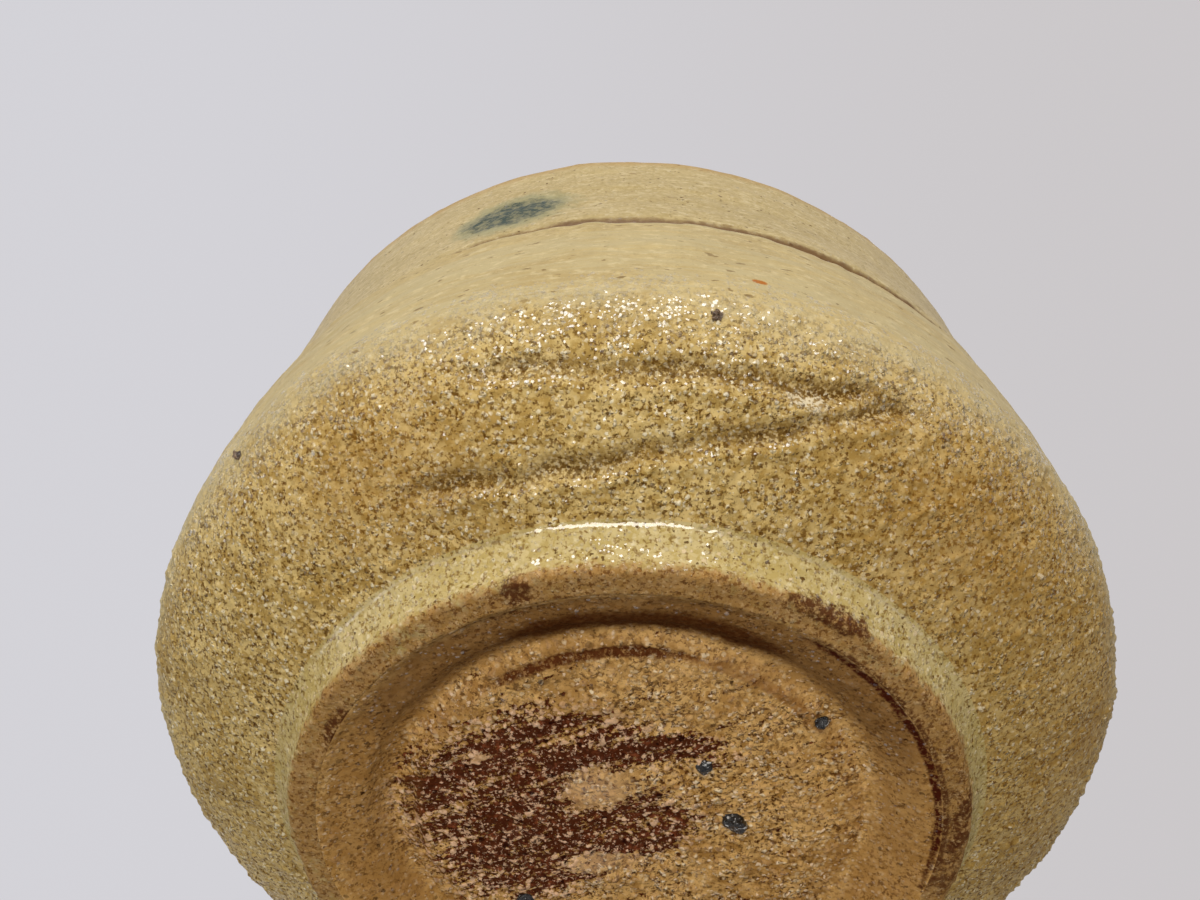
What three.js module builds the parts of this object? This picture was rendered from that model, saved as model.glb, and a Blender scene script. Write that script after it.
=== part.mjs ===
// A small sake cup, thrown in stoneware, turned on its foot and dipped in ash glaze.
// Millimetres, +Z up along the cup's axis, origin at the middle of the foot's standing face.

import * as THREE from 'three';

// Outside of the cup, glaze included
const CUP_HEIGHT = 41.6;
const LIP_RADIUS = 32.2;
const LIP_THICKNESS = 2.6;
const RIDGE_HEIGHT = 23.8; // the turned ridge that parts the belly from the upper wall
const RIDGE_RADIUS = 33.25;
const RIDGE_STEP = 0.6; // how far the upper wall stands in from the ridge
const BELLY_HEIGHT = 12.2; // level of the widest girth
const BELLY_RADIUS = 34;
const HIP_SLOPE = 22; // degrees above level where the hip leaves the foot

// Foot
const FOOT_RADIUS = 21.9; // outer edge of the standing face
const FOOT_FACE = 2.2; // width of the standing face
const FOOT_HEIGHT = 2.7; // up to the root, where the hip starts
const FOOT_FLARE = 1.45; // how far the root stands out from the standing face
const FOOT_EDGE = 0.35; // rounding of the standing face's two edges
const RECESS_RADIUS = 15.6; // flat floor under the foot
const RECESS_DEPTH = 2;

// Inside of the cup, glaze included
const WALL_THICKNESS = 3; // at the ridge, from the outside of the upper wall
const FLOOR_THICKNESS = 5; // from the recess up to the bottom of the well
const WELL_RADIUS = 17; // flat bottom of the well
const WELL_CORNER = 12; // height of the round corner between the bottom and the wall

// Coats
const GLAZE = 0.45;

// Beads of molten iron grit: under the foot by place, on the hip by turn and by share of the way up it
const GRIT_CLEARANCE = 0.05;
const GRIT_UNDER_FOOT = [
  { x: 6.8, y: -0.1, radius: 0.85, height: 0.7 },
  { x: 4.6, y: -5.1, radius: 0.65, height: 0.5 },
  { x: 11.8, y: -8.8, radius: 0.45, height: 0.4 },
  { x: -7.4, y: 7.9, radius: 0.6, height: 0.45 },
];
const GRIT_ON_HIP = [
  { turn: -81.6, climb: 0.7, radius: 0.4, height: 0.3 },
  { turn: -136.8, climb: 0.8, radius: 0.35, height: 0.25 },
];

// Fineness of the round forms
const AROUND = 48;
const HIP_STEPS = 7;
const BELLY_STEPS = 3;
const FOOT_STEPS = 3;
const EDGE_STEPS = 2;
const LIP_STEPS = 3;
const WELL_STEPS = 5;
const GRIT_AROUND = 10;
const GRIT_STEPS = 3;

const QUARTER_TURN = Math.PI / 2;
const at = (radius, height) => new THREE.Vector2(radius, height);

// Levels and radii that follow from the sizes above
const footInnerRadius = FOOT_RADIUS - FOOT_FACE;
const rootRadius = FOOT_RADIUS + FOOT_FLARE;
const recessBack = RECESS_DEPTH + GLAZE;
const upperWallRadius = RIDGE_RADIUS - RIDGE_STEP;
const ledgeHeight = RIDGE_HEIGHT - GLAZE;
const lipRound = LIP_THICKNESS / 2;
const lipLevel = CUP_HEIGHT - lipRound;
const lipMiddle = LIP_RADIUS - lipRound;
const insideRadius = upperWallRadius - WALL_THICKNESS;
const wellHeight = RECESS_DEPTH + FLOOR_THICKNESS;

const stoneware = new THREE.MeshStandardMaterial({ color: 0xc2a77a, roughness: 0.9, metalness: 0 });
const footGlaze = new THREE.MeshStandardMaterial({ color: 0xcdb56c, roughness: 0.35, metalness: 0 });
const bellyGlaze = new THREE.MeshStandardMaterial({ color: 0xb0935a, roughness: 0.35, metalness: 0 });
const paleGlaze = new THREE.MeshStandardMaterial({ color: 0xcbb583, roughness: 0.4, metalness: 0 });
const recessGlaze = new THREE.MeshStandardMaterial({ color: 0xa57f48, roughness: 0.4, metalness: 0 });
const iron = new THREE.MeshStandardMaterial({ color: 0x1b1a1c, roughness: 0.25, metalness: 0.1 });

// A solid turned about +Z from a profile of (radius, height) points that runs up its outside
function turned(profile, around = AROUND) {
  return new THREE.LatheGeometry(profile, around).rotateX(QUARTER_TURN);
}

// A ring: its profile closes on itself
function turnedRing(profile) {
  return turned([...profile, profile[0]]);
}

// Part of an ellipse about a middle point, from one angle to another
function arc(middle, radiusAcross, radiusUp, from, to, steps) {
  const clockwise = to < from;
  return new THREE.EllipseCurve(middle.x, middle.y, radiusAcross, radiusUp, from, to, clockwise).getPoints(steps);
}

// Points along a curve, moved square to it by a depth towards its left, into the clay
function inset(curve, steps, depth) {
  return curve.getPoints(steps).map((point, step) => {
    const along = curve.getTangent(step / steps);
    return at(point.x - along.y * depth, point.y + along.x * depth);
  });
}

// Outside of the belly: a hip that springs from the foot's root, then a slow curve in to the ridge
const root = at(rootRadius, FOOT_HEIGHT);
const girth = at(BELLY_RADIUS, BELLY_HEIGHT);
const ridge = at(RIDGE_RADIUS, RIDGE_HEIGHT);
const hipRise = (BELLY_RADIUS - rootRadius) * Math.tan(THREE.MathUtils.degToRad(HIP_SLOPE));
const hip = new THREE.QuadraticBezierCurve(root, at(BELLY_RADIUS, FOOT_HEIGHT + hipRise), girth);
const belly = new THREE.QuadraticBezierCurve(girth, at(BELLY_RADIUS, (BELLY_HEIGHT + RIDGE_HEIGHT) / 2), ridge);
const bellySkin = [...hip.getPoints(HIP_STEPS), ...belly.getPoints(BELLY_STEPS).slice(1)];
const bellyBack = [
  ...inset(hip, HIP_STEPS, GLAZE),
  ...inset(belly, BELLY_STEPS, GLAZE).slice(1, -1),
  at(RIDGE_RADIUS - GLAZE, ledgeHeight),
];

// Upper wall and the outer half of the lip
const lipCentre = at(lipMiddle, lipLevel);
const lipOutside = arc(lipCentre, lipRound, lipRound, 0, QUARTER_TURN, LIP_STEPS);
const lipOutsideBack = arc(lipCentre, lipRound - GLAZE, lipRound - GLAZE, 0, QUARTER_TURN, LIP_STEPS);
const wallSkin = [at(upperWallRadius, ledgeHeight), at(upperWallRadius, RIDGE_HEIGHT), ...lipOutside];
const wallBack = [at(upperWallRadius - GLAZE, ledgeHeight), ...lipOutsideBack];

// Inner half of the lip, inner wall and well, running down to the axis at a given depth under the surface
function insideAt(depth) {
  const lip = arc(lipCentre, lipRound - depth, lipRound - depth, QUARTER_TURN, 2 * QUARTER_TURN, LIP_STEPS);
  const corner = at(WELL_RADIUS, wellHeight + WELL_CORNER);
  const across = insideRadius - WELL_RADIUS + depth;
  const well = arc(corner, across, WELL_CORNER + depth, 0, -QUARTER_TURN, WELL_STEPS);
  return [...lip, ...well, at(0, wellHeight - depth)];
}

// Foot: the slope of the recess, the standing face between two round edges, and the flared wall
const footInnerEdge = at(footInnerRadius + FOOT_EDGE, FOOT_EDGE);
const footOuterEdge = at(FOOT_RADIUS - FOOT_EDGE, FOOT_EDGE);
const footWall = new THREE.QuadraticBezierCurve(at(FOOT_RADIUS, FOOT_EDGE), at(FOOT_RADIUS, FOOT_HEIGHT), root);
const footSkin = [
  at(RECESS_RADIUS, RECESS_DEPTH),
  ...arc(footInnerEdge, FOOT_EDGE, FOOT_EDGE, 2 * QUARTER_TURN, 3 * QUARTER_TURN, EDGE_STEPS),
  ...arc(footOuterEdge, FOOT_EDGE, FOOT_EDGE, 3 * QUARTER_TURN, 4 * QUARTER_TURN, EDGE_STEPS),
  ...footWall.getPoints(FOOT_STEPS).slice(1),
];

// A bead: a low dome with a flat seat at its own origin, bulging along +Z
function bead({ radius, height }) {
  return turned([at(0, 0), ...arc(at(0, 0), radius, height, 0, QUARTER_TURN, GRIT_STEPS)], GRIT_AROUND);
}

const cup = new THREE.Group();

function addPiece(name, geometry, material) {
  const piece = new THREE.Mesh(geometry, material);
  piece.name = name;
  cup.add(piece);
  return piece;
}

// Sets a bead at a point of the surface, facing out along its normal
function addGrit(number, size, point, normal) {
  const piece = addPiece(`iron_grit_${number}`, bead(size), iron);
  piece.position.copy(point).addScaledVector(normal, GRIT_CLEARANCE);
  piece.quaternion.setFromUnitVectors(new THREE.Vector3(0, 0, 1), normal);
}

const clayProfile = [
  at(0, recessBack),
  at(RECESS_RADIUS, recessBack),
  ...bellyBack,
  ...wallBack,
  ...insideAt(GLAZE).slice(1),
];
const footProfile = [...footSkin, bellyBack[0], at(RECESS_RADIUS, recessBack)];
const recessProfile = [
  at(0, RECESS_DEPTH),
  at(RECESS_RADIUS, RECESS_DEPTH),
  at(RECESS_RADIUS, recessBack),
  at(0, recessBack),
];
const bellyProfile = [
  ...bellySkin,
  at(upperWallRadius, RIDGE_HEIGHT),
  at(upperWallRadius, ledgeHeight),
  ...bellyBack.toReversed(),
];
const wallProfile = [...wallSkin, ...wallBack.toReversed()];
const insideProfile = [...insideAt(GLAZE).toReversed(), ...insideAt(0)];

addPiece('clay_body', turned(clayProfile), stoneware);
addPiece('foot_ring', turnedRing(footProfile), footGlaze);
addPiece('recess_glaze', turned(recessProfile), recessGlaze);
addPiece('belly_glaze', turnedRing(bellyProfile), bellyGlaze);
addPiece('wall_glaze', turnedRing(wallProfile), paleGlaze);
addPiece('inner_glaze', turned(insideProfile), paleGlaze);

GRIT_UNDER_FOOT.forEach((grit, index) => {
  addGrit(index + 1, grit, new THREE.Vector3(grit.x, grit.y, RECESS_DEPTH), new THREE.Vector3(0, 0, -1));
});

GRIT_ON_HIP.forEach((grit, index) => {
  const spot = hip.getPoint(grit.climb);
  const along = hip.getTangent(grit.climb);
  const upAxis = new THREE.Vector3(0, 0, 1);
  const turn = THREE.MathUtils.degToRad(grit.turn);
  const point = new THREE.Vector3(spot.x, 0, spot.y).applyAxisAngle(upAxis, turn);
  const normal = new THREE.Vector3(along.y, 0, -along.x).applyAxisAngle(upAxis, turn);
  addGrit(GRIT_UNDER_FOOT.length + index + 1, grit, point, normal);
});

export default cup;
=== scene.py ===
"""A squat sake cup in ash-glazed stoneware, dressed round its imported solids.

Blender works in metres, and every size named here is in millimetres unless it says otherwise. The cup
stands upright on its foot, and the camera looks up at the foot from below the floor, which can't be seen
from underneath.
"""

import logging
import math
from dataclasses import dataclass
from enum import Enum
from functools import reduce
from operator import mul

import bmesh
import bpy
import numpy as np
from mathutils import Matrix, Vector


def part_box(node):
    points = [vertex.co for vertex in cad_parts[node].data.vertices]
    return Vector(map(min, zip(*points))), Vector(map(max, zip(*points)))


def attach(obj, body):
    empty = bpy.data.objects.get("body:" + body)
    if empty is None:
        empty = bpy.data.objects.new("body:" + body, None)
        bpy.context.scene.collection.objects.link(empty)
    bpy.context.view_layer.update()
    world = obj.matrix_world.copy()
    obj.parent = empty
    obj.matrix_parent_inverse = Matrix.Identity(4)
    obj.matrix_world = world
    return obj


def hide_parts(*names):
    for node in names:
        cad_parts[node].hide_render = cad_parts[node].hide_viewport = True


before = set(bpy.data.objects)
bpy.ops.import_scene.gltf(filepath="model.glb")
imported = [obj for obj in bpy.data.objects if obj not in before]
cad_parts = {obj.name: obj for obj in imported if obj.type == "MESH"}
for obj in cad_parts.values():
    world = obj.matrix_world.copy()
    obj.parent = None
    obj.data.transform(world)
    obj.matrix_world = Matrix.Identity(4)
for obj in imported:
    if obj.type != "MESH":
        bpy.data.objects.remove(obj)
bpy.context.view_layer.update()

MM = 0.001
BODY = "root"
EVEN = (1.0, 1.0, 1.0)
ALL_ROUND = (-360.0, 360.0)
ON_AXIS = 1e-6
GRIT_SEED = 80

Socket = bpy.types.NodeSocket
Colour = tuple[float, float, float]
Pair = tuple[float, float]

log = logging.getLogger("sake_cup")


# Fields that roughen the surface

def hashed(cell: np.ndarray, seed: int) -> np.ndarray:
    """Gives every whole-number cell of space a fixed value of its own.

    Args:
        cell: Whole-number places, three to a row.
        seed: Picks one set of values out of many.

    Returns:
        One value from 0 to 1 for each row.
    """
    key = cell.astype(np.int64).astype(np.uint32)
    mixed = key[..., 0] * np.uint32(374761393) + key[..., 1] * np.uint32(668265263)
    mixed = mixed + key[..., 2] * np.uint32(2246822519) + np.uint32(seed * 3266489917 % 2**32)
    mixed = (mixed ^ (mixed >> np.uint32(15))) * np.uint32(2654435761)
    mixed = (mixed ^ (mixed >> np.uint32(13))) * np.uint32(1274126177)
    return ((mixed ^ (mixed >> np.uint32(16))) & np.uint32(0xFFFFFF)) / float(0x1000000)


def eased(value: np.ndarray, start: float, end: float) -> np.ndarray:
    """Rises smoothly from 0 at the start to 1 at the end, which may be the lower of the two."""
    share = np.clip((value - start) / (end - start), 0.0, 1.0)
    return share * share * (3.0 - 2.0 * share)


def rolling(places: np.ndarray, size: float, seed: int) -> np.ndarray:
    """Smooth random hills and hollows.

    Args:
        places: Points in millimetres, three to a row.
        size: Distance between neighbouring hills.
        seed: Picks one field out of many.

    Returns:
        A height from -1 to 1 for each point.
    """
    scaled = places / size
    cell = np.floor(scaled)
    part = scaled - cell
    part = part * part * part * (part * (part * 6.0 - 15.0) + 10.0)
    total = np.zeros(places.shape[:-1])
    for corner in np.ndindex(2, 2, 2):
        step = np.array(corner)
        weight = np.prod(np.where(step == 1, part, 1.0 - part), axis=-1)
        total += weight * hashed(cell + step, seed)
    return total * 2.0 - 1.0


def beaded(places: np.ndarray, size: float, share: np.ndarray | float, seed: int) -> np.ndarray:
    """Round half-melted beads, some apart and some run together.

    Args:
        places: Points in millimetres, three to a row.
        size: Usual distance between the middles of two beads.
        share: How many of the beads are there, from 0 to 1.
        seed: Picks one field out of many.

    Returns:
        A height for each point, from 0 between beads to 1 on top of the largest.
    """
    scaled = places / size
    cell = np.floor(scaled)
    height = np.zeros(places.shape[:-1])
    for corner in np.ndindex(3, 3, 3):
        near = cell + np.array(corner) - 1.0
        middle = np.stack([near[..., axis] + hashed(near, seed + axis) for axis in range(3)], axis=-1)
        reach = 0.34 + 0.34 * hashed(near, seed + 3)
        there = hashed(near, seed + 4) < share
        dome = np.clip(1.0 - np.sum((scaled - middle) ** 2, axis=-1) / reach**2, 0.0, 1.0)
        height = np.maximum(height, np.where(there, dome**0.8 * reach / 0.68, 0.0))
    return height


# The turned form

def curve(start: tuple[float, float], pull: tuple[float, float], end: tuple[float, float]) -> np.ndarray:
    """A smooth curve of (radius, height) points that leaves and arrives along its pull point.

    Args:
        start: First point.
        pull: Point that it leaves towards and arrives from.
        end: Last point.

    Returns:
        (radius, height) points in order.
    """
    share = np.linspace(0.0, 1.0, 65)[:, None]
    first, middle, last = np.array(start), np.array(pull), np.array(end)
    return (1 - share) ** 2 * first + 2 * share * (1 - share) * middle + share**2 * last


def arc(middle: tuple[float, float], across: float, up: float, start: float, end: float) -> np.ndarray:
    """Part of an ellipse of (radius, height) points, between two angles in degrees."""
    angle = np.radians(np.linspace(start, end, 65))
    return np.stack([middle[0] + across * np.cos(angle), middle[1] + up * np.sin(angle)], axis=1)


def distances(path: np.ndarray) -> np.ndarray:
    """How far along a path each of its points lies."""
    return np.concatenate([[0.0], np.cumsum(np.hypot(*np.diff(path, axis=0).T))])


def inward(path: np.ndarray) -> np.ndarray:
    """The way to the left of a path at each of its points, which is into the clay.

    Args:
        path: (radius, height) points in order.

    Returns:
        A unit vector of radius and height for each point.
    """
    along = np.gradient(path, axis=0)
    along /= np.hypot(along[:, 0], along[:, 1])[:, None]
    return np.stack([-along[:, 1], along[:, 0]], axis=1)


def walked(path: np.ndarray, step: float) -> np.ndarray:
    """Walks along a path of (radius, height) points in even steps, from its first point to its last.

    Args:
        path: (radius, height) points in order.
        step: Length of a step.

    Returns:
        (radius, height) points in order.
    """
    along = distances(path)
    stops = np.linspace(0.0, along[-1], max(2, round(along[-1] / step)) + 1)
    return np.stack([np.interp(stops, along, path[:, axis]) for axis in range(2)], axis=1)


def spun(path: np.ndarray, angle: np.ndarray) -> np.ndarray:
    """Turns (radius, height) points about the axis, into places by row and by angle in radians."""
    across, level = path[:, :1], np.broadcast_to(path[:, 1:], (len(path), len(angle)))
    return np.stack([across * np.cos(angle), across * np.sin(angle), level], axis=-1)


def reach(node: str) -> float:
    """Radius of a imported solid."""
    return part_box(node)[1].x / MM


def top(node: str) -> float:
    """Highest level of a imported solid."""
    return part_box(node)[1].z / MM


def bottom(node: str) -> float:
    """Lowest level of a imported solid."""
    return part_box(node)[0].z / MM


@dataclass(frozen=True)
class CupForm:
    """The cup's turned profile, from the recess round the outside and over the lip into the well."""

    belly_radius: float = reach("belly_glaze")
    ridge_height: float = top("belly_glaze")
    wall_radius: float = reach("wall_glaze")
    cup_height: float = top("wall_glaze")
    root: Pair = (reach("foot_ring"), bottom("belly_glaze"))
    recess: Pair = (reach("recess_glaze"), bottom("recess_glaze"))
    lip_radius: float = 32.2
    lip_thickness: float = 2.6
    ridge_radius: float = 33.25
    belly_height: float = 12.2
    hip_slope: float = 22.0
    foot_radius: float = 21.9
    foot_face: float = 2.2
    foot_edge: float = 0.55
    crown: float = 0.35
    wall_thickness: float = 3.0
    well_radius: float = 17.0
    well_corner: float = 12.0
    glaze: float = 0.45
    well_height: float = bottom("inner_glaze") + glaze

    def belly_path(self) -> np.ndarray:
        """From the root of the foot up over the hip and the belly to the ridge.

        Returns:
            (radius, height) points in order.
        """
        radius, height = self.root
        rise = (self.belly_radius - radius) * math.tan(math.radians(self.hip_slope))
        girth = (self.belly_radius, self.belly_height)
        ridge = (self.ridge_radius, self.ridge_height)
        hip = curve(self.root, (self.belly_radius, height + rise), girth)
        belly = curve(girth, (self.belly_radius, (self.belly_height + self.ridge_height) / 2), ridge)
        return np.vstack([hip, belly[1:]])

    def lip_path(self) -> np.ndarray:
        """From the foot of the upper wall up, over the lip and a little way down inside.

        Returns:
            (radius, height) points in order.
        """
        half = self.lip_thickness / 2
        middle = (self.lip_radius - half, self.cup_height - half)
        ledge = self.ridge_height
        wall = [
            (self.wall_radius - 0.5, ledge - 0.25),
            (self.wall_radius - 0.42, ledge + 0.2),
            (self.wall_radius - 0.05, ledge + 1.35),
            (self.wall_radius + 0.02, ledge + 2.2),
        ]
        inside = self.wall_radius - self.wall_thickness
        return np.vstack([wall, arc(middle, half, half, 0.0, 180.0), [(inside, self.cup_height - 5.0)]])

    def well_path(self) -> np.ndarray:
        """Down the inside of the wall, round the corner and across the well to the axis.

        Returns:
            (radius, height) points in order.
        """
        inside = self.wall_radius - self.wall_thickness
        corner = (self.well_radius, self.well_height + self.well_corner)
        turn = arc(corner, inside - self.well_radius, self.well_corner, 0.0, -90.0)
        return np.vstack([[(inside, self.cup_height - 5.0)], turn, [(0.0, self.well_height)]])

    def recess_path(self) -> np.ndarray:
        """From the axis across the floor under the foot and down its slope to the standing face.

        Returns:
            (radius, height) points in order.
        """
        radius, height = self.recess
        start = self.foot_path()[0]
        brow = (radius - 2.2, height - 0.12)
        trough = (radius - 0.25, height + 0.4)
        slope = (radius + 1.6, height - 0.66)
        floor = curve((0.0, height - self.crown), (radius - 6.5, height - self.crown), brow)
        fall = curve(brow, (radius - 1.2, height), trough)
        rise = curve(trough, (radius + 0.5, height + 0.36), slope)
        return np.vstack([floor, fall[1:], rise[1:], [start]])

    def foot_path(self) -> np.ndarray:
        """Over the inner edge, across the standing face and up the flared wall to the root.

        Returns:
            (radius, height) points in order.
        """
        edge = self.foot_edge
        inner = (self.foot_radius - self.foot_face + edge, edge)
        outer = (self.foot_radius - edge, edge)
        radius, height = self.root
        waist = (radius - 0.55, height - 0.48)
        wall = curve((self.foot_radius, edge), (self.foot_radius + 0.1, height - 1.4), waist)
        corner = curve(waist, (radius - 0.42, height - 0.14), self.root)
        edges = [arc(inner, edge, edge, 246.0, 270.0), arc(outer, edge, edge, 270.0, 360.0)]
        return np.vstack([*edges, wall[1:], corner[1:]])

    def on_belly(self, turn: float, height: float) -> Vector:
        """A point of the belly's surface, from its turn in degrees and its level.

        Args:
            turn: Turn in degrees.
            height: Level of the point.

        Returns:
            The point.
        """
        path = self.belly_path()
        radius = float(np.interp(height, path[:, 1], path[:, 0]))
        return self.on_turn(turn, radius, height)

    @staticmethod
    def on_turn(turn: float, radius: float, height: float) -> Vector:
        """A point from its turn in degrees, its radius and its level."""
        angle = math.radians(turn)
        return Vector((radius * math.cos(angle), radius * math.sin(angle), height))


@dataclass(frozen=True)
class Throwing:
    """What the hand leaves in a thrown cup: it is a little out of round, and its lip isn't level."""

    oval: float = 0.16
    oval_turn: float = 25.0
    lip_dip: float = 0.22
    foot_shift: float = -0.25
    girth: float = 34.0
    oval_span: Pair = (4.0, 30.0)
    dip_turn: float = 0.9
    dip_span: Pair = (24.0, 41.0)
    shift_span: Pair = (7.0, 1.0)
    lip_wear: float = 0.1
    wear_span: Pair = (38.0, 41.5)

    def sway(self, places: np.ndarray) -> np.ndarray:
        """Moves points of the true turned form to where the hand left them.

        Args:
            places: Points in millimetres, three to a row.

        Returns:
            The moved points. The standing face stays level.
        """
        turn = np.arctan2(places[..., 1], places[..., 0])
        height = places[..., 2]
        radius = np.hypot(places[..., 0], places[..., 1])
        out = self.oval * np.cos(2.0 * (turn - math.radians(self.oval_turn))) * radius / self.girth
        out = out * eased(height, *self.oval_span)
        dip = self.lip_dip * np.sin(2.0 * turn + self.dip_turn) * eased(height, *self.dip_span)
        moved = places.copy()
        moved[..., 0] += out * np.cos(turn) + self.foot_shift * eased(height, *self.shift_span)
        moved[..., 1] += out * np.sin(turn)
        moved[..., 2] += dip - self.lip_wear * eased(height, *self.wear_span)
        return moved


@dataclass(frozen=True)
class ToolMark:
    """A furrow that the turning tool dragged round the hip, with sand torn up in it."""

    turns: tuple[float, ...]
    heights: tuple[float, ...]
    width: float
    depth: float
    burr: float
    seed: int

    def cut(self, turn: np.ndarray, along: np.ndarray, path: np.ndarray) -> tuple[np.ndarray, np.ndarray]:
        """Works out the furrow on a turned surface.

        Args:
            turn: Turn of each point in degrees.
            along: Distance of each point along the profile.
            path: The profile's (radius, height) points.

        Returns:
            How far each point moves out of the surface, and how much of it is torn, from 0 to 1.
        """
        lengths = distances(path)
        height = np.interp(turn, self.turns, self.heights)
        middle = np.interp(height, path[:, 1], lengths)
        run = np.stack([turn * 0.55, along * 0.0, along * 0.0], axis=-1)
        across = (along - middle - 0.25 * rolling(run, 2.1, self.seed)) / self.width
        first, last = self.turns[0], self.turns[-1]
        ends = eased(turn, first - 4.0, first + 5.0) * eased(turn, last + 4.0, last - 5.0)
        strength = ends * (0.75 + 0.35 * rolling(run, 3.4, self.seed + 1))
        furrow = np.exp(-(across**2) * 1.6)
        lip = np.exp(-((across + 1.35) ** 2) * 3.0)
        return strength * (self.burr * lip - self.depth * furrow), np.clip(strength * furrow, 0.0, 1.0)


@dataclass(frozen=True)
class Blotch:
    """A stain of one colour: where it lies, how far it reaches and how its edge frays."""

    centre: tuple[float, float, float]
    reach: tuple[float, float, float]
    turn: float = 0.0
    fray: float = 0.5
    fray_size: float = 1.2

    def share(self, places: np.ndarray) -> np.ndarray:
        """How much of the stain lies at each point, from 0 to 1, with a plain edge.

        Args:
            places: Points in millimetres, three to a row.

        Returns:
            A share for each point.
        """
        angle = math.radians(self.turn)
        off = places - np.array(self.centre)
        along = (off[..., 0] * math.cos(angle) + off[..., 1] * math.sin(angle)) / self.reach[0]
        across = (off[..., 1] * math.cos(angle) - off[..., 0] * math.sin(angle)) / self.reach[1]
        return eased(np.sqrt(along**2 + across**2 + (off[..., 2] / self.reach[2]) ** 2), 1.0, 0.7)


SCORCHED = (
    Blotch((-10.0, -1.2, 2.0), (5.6, 4.6, 3.0), -14.0),
    Blotch((-5.4, -6.3, 2.0), (4.6, 3.2, 3.0), -16.0),
    Blotch((2.4, -6.6, 2.0), (4.2, 1.2, 3.0), 6.0),
    Blotch((0.6, 0.3, 2.0), (3.6, 2.5, 3.0), -14.0),
    Blotch((-6.6, 5.0, 2.0), (5.0, 2.8, 3.0), -22.0),
)
BARE_ISLES = (
    Blotch((-2.3, -2.9, 2.0), (2.1, 1.6, 3.0), 8.0),
    Blotch((-2.4, 3.9, 2.0), (2.2, 0.9, 3.0), -18.0),
    Blotch((-9.3, -5.5, 2.0), (1.2, 0.6, 3.0), -10.0),
)


# The turned pieces

@dataclass
class Rings:
    """Rows of points round the axis, before the surface is roughened."""

    places: np.ndarray
    normals: np.ndarray
    turn: np.ndarray
    along: np.ndarray
    path: np.ndarray

    @property
    def height(self) -> np.ndarray:
        """Level of every point."""
        return self.places[..., 2]

    @property
    def radius(self) -> np.ndarray:
        """Radius of every point."""
        return np.hypot(self.places[..., 0], self.places[..., 1])

    def ends(self, first: float, last: float) -> np.ndarray:
        """Fades to 0 over a distance at the start of the profile and over another at its end.

        Args:
            first: Distance at the start.
            last: Distance at the end.

        Returns:
            A share for each point.
        """
        length = float(self.along.max())
        start = eased(self.along, 0.0, first) if first else 1.0
        return start * (eased(self.along, length, length - last) if last else 1.0)


@dataclass
class Relief:
    """How far each visible point stands out of the turned form, and what the finish needs to know there."""

    move: np.ndarray
    shares: dict[str, np.ndarray]


class Piece:
    """A piece of the cup, built first and dressed afterwards."""

    def build(self) -> bpy.types.Object:
        """Makes the piece's mesh and sets it in the frame."""
        raise NotImplementedError

    def dress(self, piece: bpy.types.Object, material: bpy.types.Material) -> None:
        """Gives the piece its finish."""
        piece.data.materials.append(material)

    @staticmethod
    def settled(name: str, mesh: bpy.types.Mesh, node: str, slot: str, crease: float) -> bpy.types.Object:
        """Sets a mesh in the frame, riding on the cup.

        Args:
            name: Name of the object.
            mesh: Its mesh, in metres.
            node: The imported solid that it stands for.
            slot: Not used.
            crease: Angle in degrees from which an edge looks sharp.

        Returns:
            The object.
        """
        mesh.polygons.foreach_set("use_smooth", np.ones(len(mesh.polygons), bool))
        mesh.set_sharp_from_angle(angle=math.radians(crease))
        piece = bpy.data.objects.new(name, mesh)
        bpy.context.scene.collection.objects.link(piece)
        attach(piece, BODY)
        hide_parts(node)
        return piece


@dataclass
class TurnedPiece(Piece):
    """A closed skin turned about the cup's axis, with its outer face roughened point by point."""

    name: str
    node: str
    slot: str
    step: float
    depth: float = 1.0
    crease: float = 62.0
    back_step: float = 2.0
    fewest_columns: int = 24
    form: CupForm = CupForm()
    throwing: Throwing = Throwing()

    def path(self) -> np.ndarray:
        """The visible profile."""
        raise NotImplementedError

    def back(self) -> np.ndarray:
        """The hidden profile, from the end of the visible one back to its start."""
        path = walked(self.path(), self.back_step)
        return (path + self.depth * inward(path))[::-1]

    def relief(self, rings: Rings) -> Relief:
        """How the visible surface departs from the turned form."""
        raise NotImplementedError

    def rings(self) -> Rings:
        """Lays out the visible points on the true turned form.

        Returns:
            The points, by row and by angle.
        """
        path = walked(self.path(), self.step)
        columns = max(self.fewest_columns, round(2.0 * math.pi * path[:, 0].max() / self.step))
        angle = np.linspace(-math.pi, math.pi, columns, endpoint=False)
        shape = (len(path), columns)
        turn = np.broadcast_to(np.degrees(angle), shape)
        along = np.broadcast_to(distances(path)[:, None], shape)
        return Rings(spun(path, angle), spun(-inward(path), angle), turn, along, path)

    def build(self) -> bpy.types.Object:
        """Makes the closed mesh, with what the finish needs to know stored at its points.

        Returns:
            The object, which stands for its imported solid.
        """
        rings = self.rings()
        relief = self.relief(rings)
        front = rings.places + rings.normals * relief.move[..., None]
        back = self.back()
        rear = spun(back, np.radians(rings.turn[0]))
        poles = np.concatenate([rings.path[:, 0], back[:, 0]]) < ON_AXIS
        mesh = turned_mesh(self.name, self.throwing.sway(np.vstack([front, rear])), poles)
        for name, share in relief.shares.items():
            kept = np.concatenate([row[:1] if pole else row for row, pole in zip(share, poles)])
            values = np.zeros(len(mesh.vertices), np.float32)
            values[: kept.size] = kept
            mesh.attributes.new(name, "FLOAT", "POINT").data.foreach_set("value", values)
        return self.settled(self.name, mesh, self.node, self.slot, self.crease)


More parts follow.
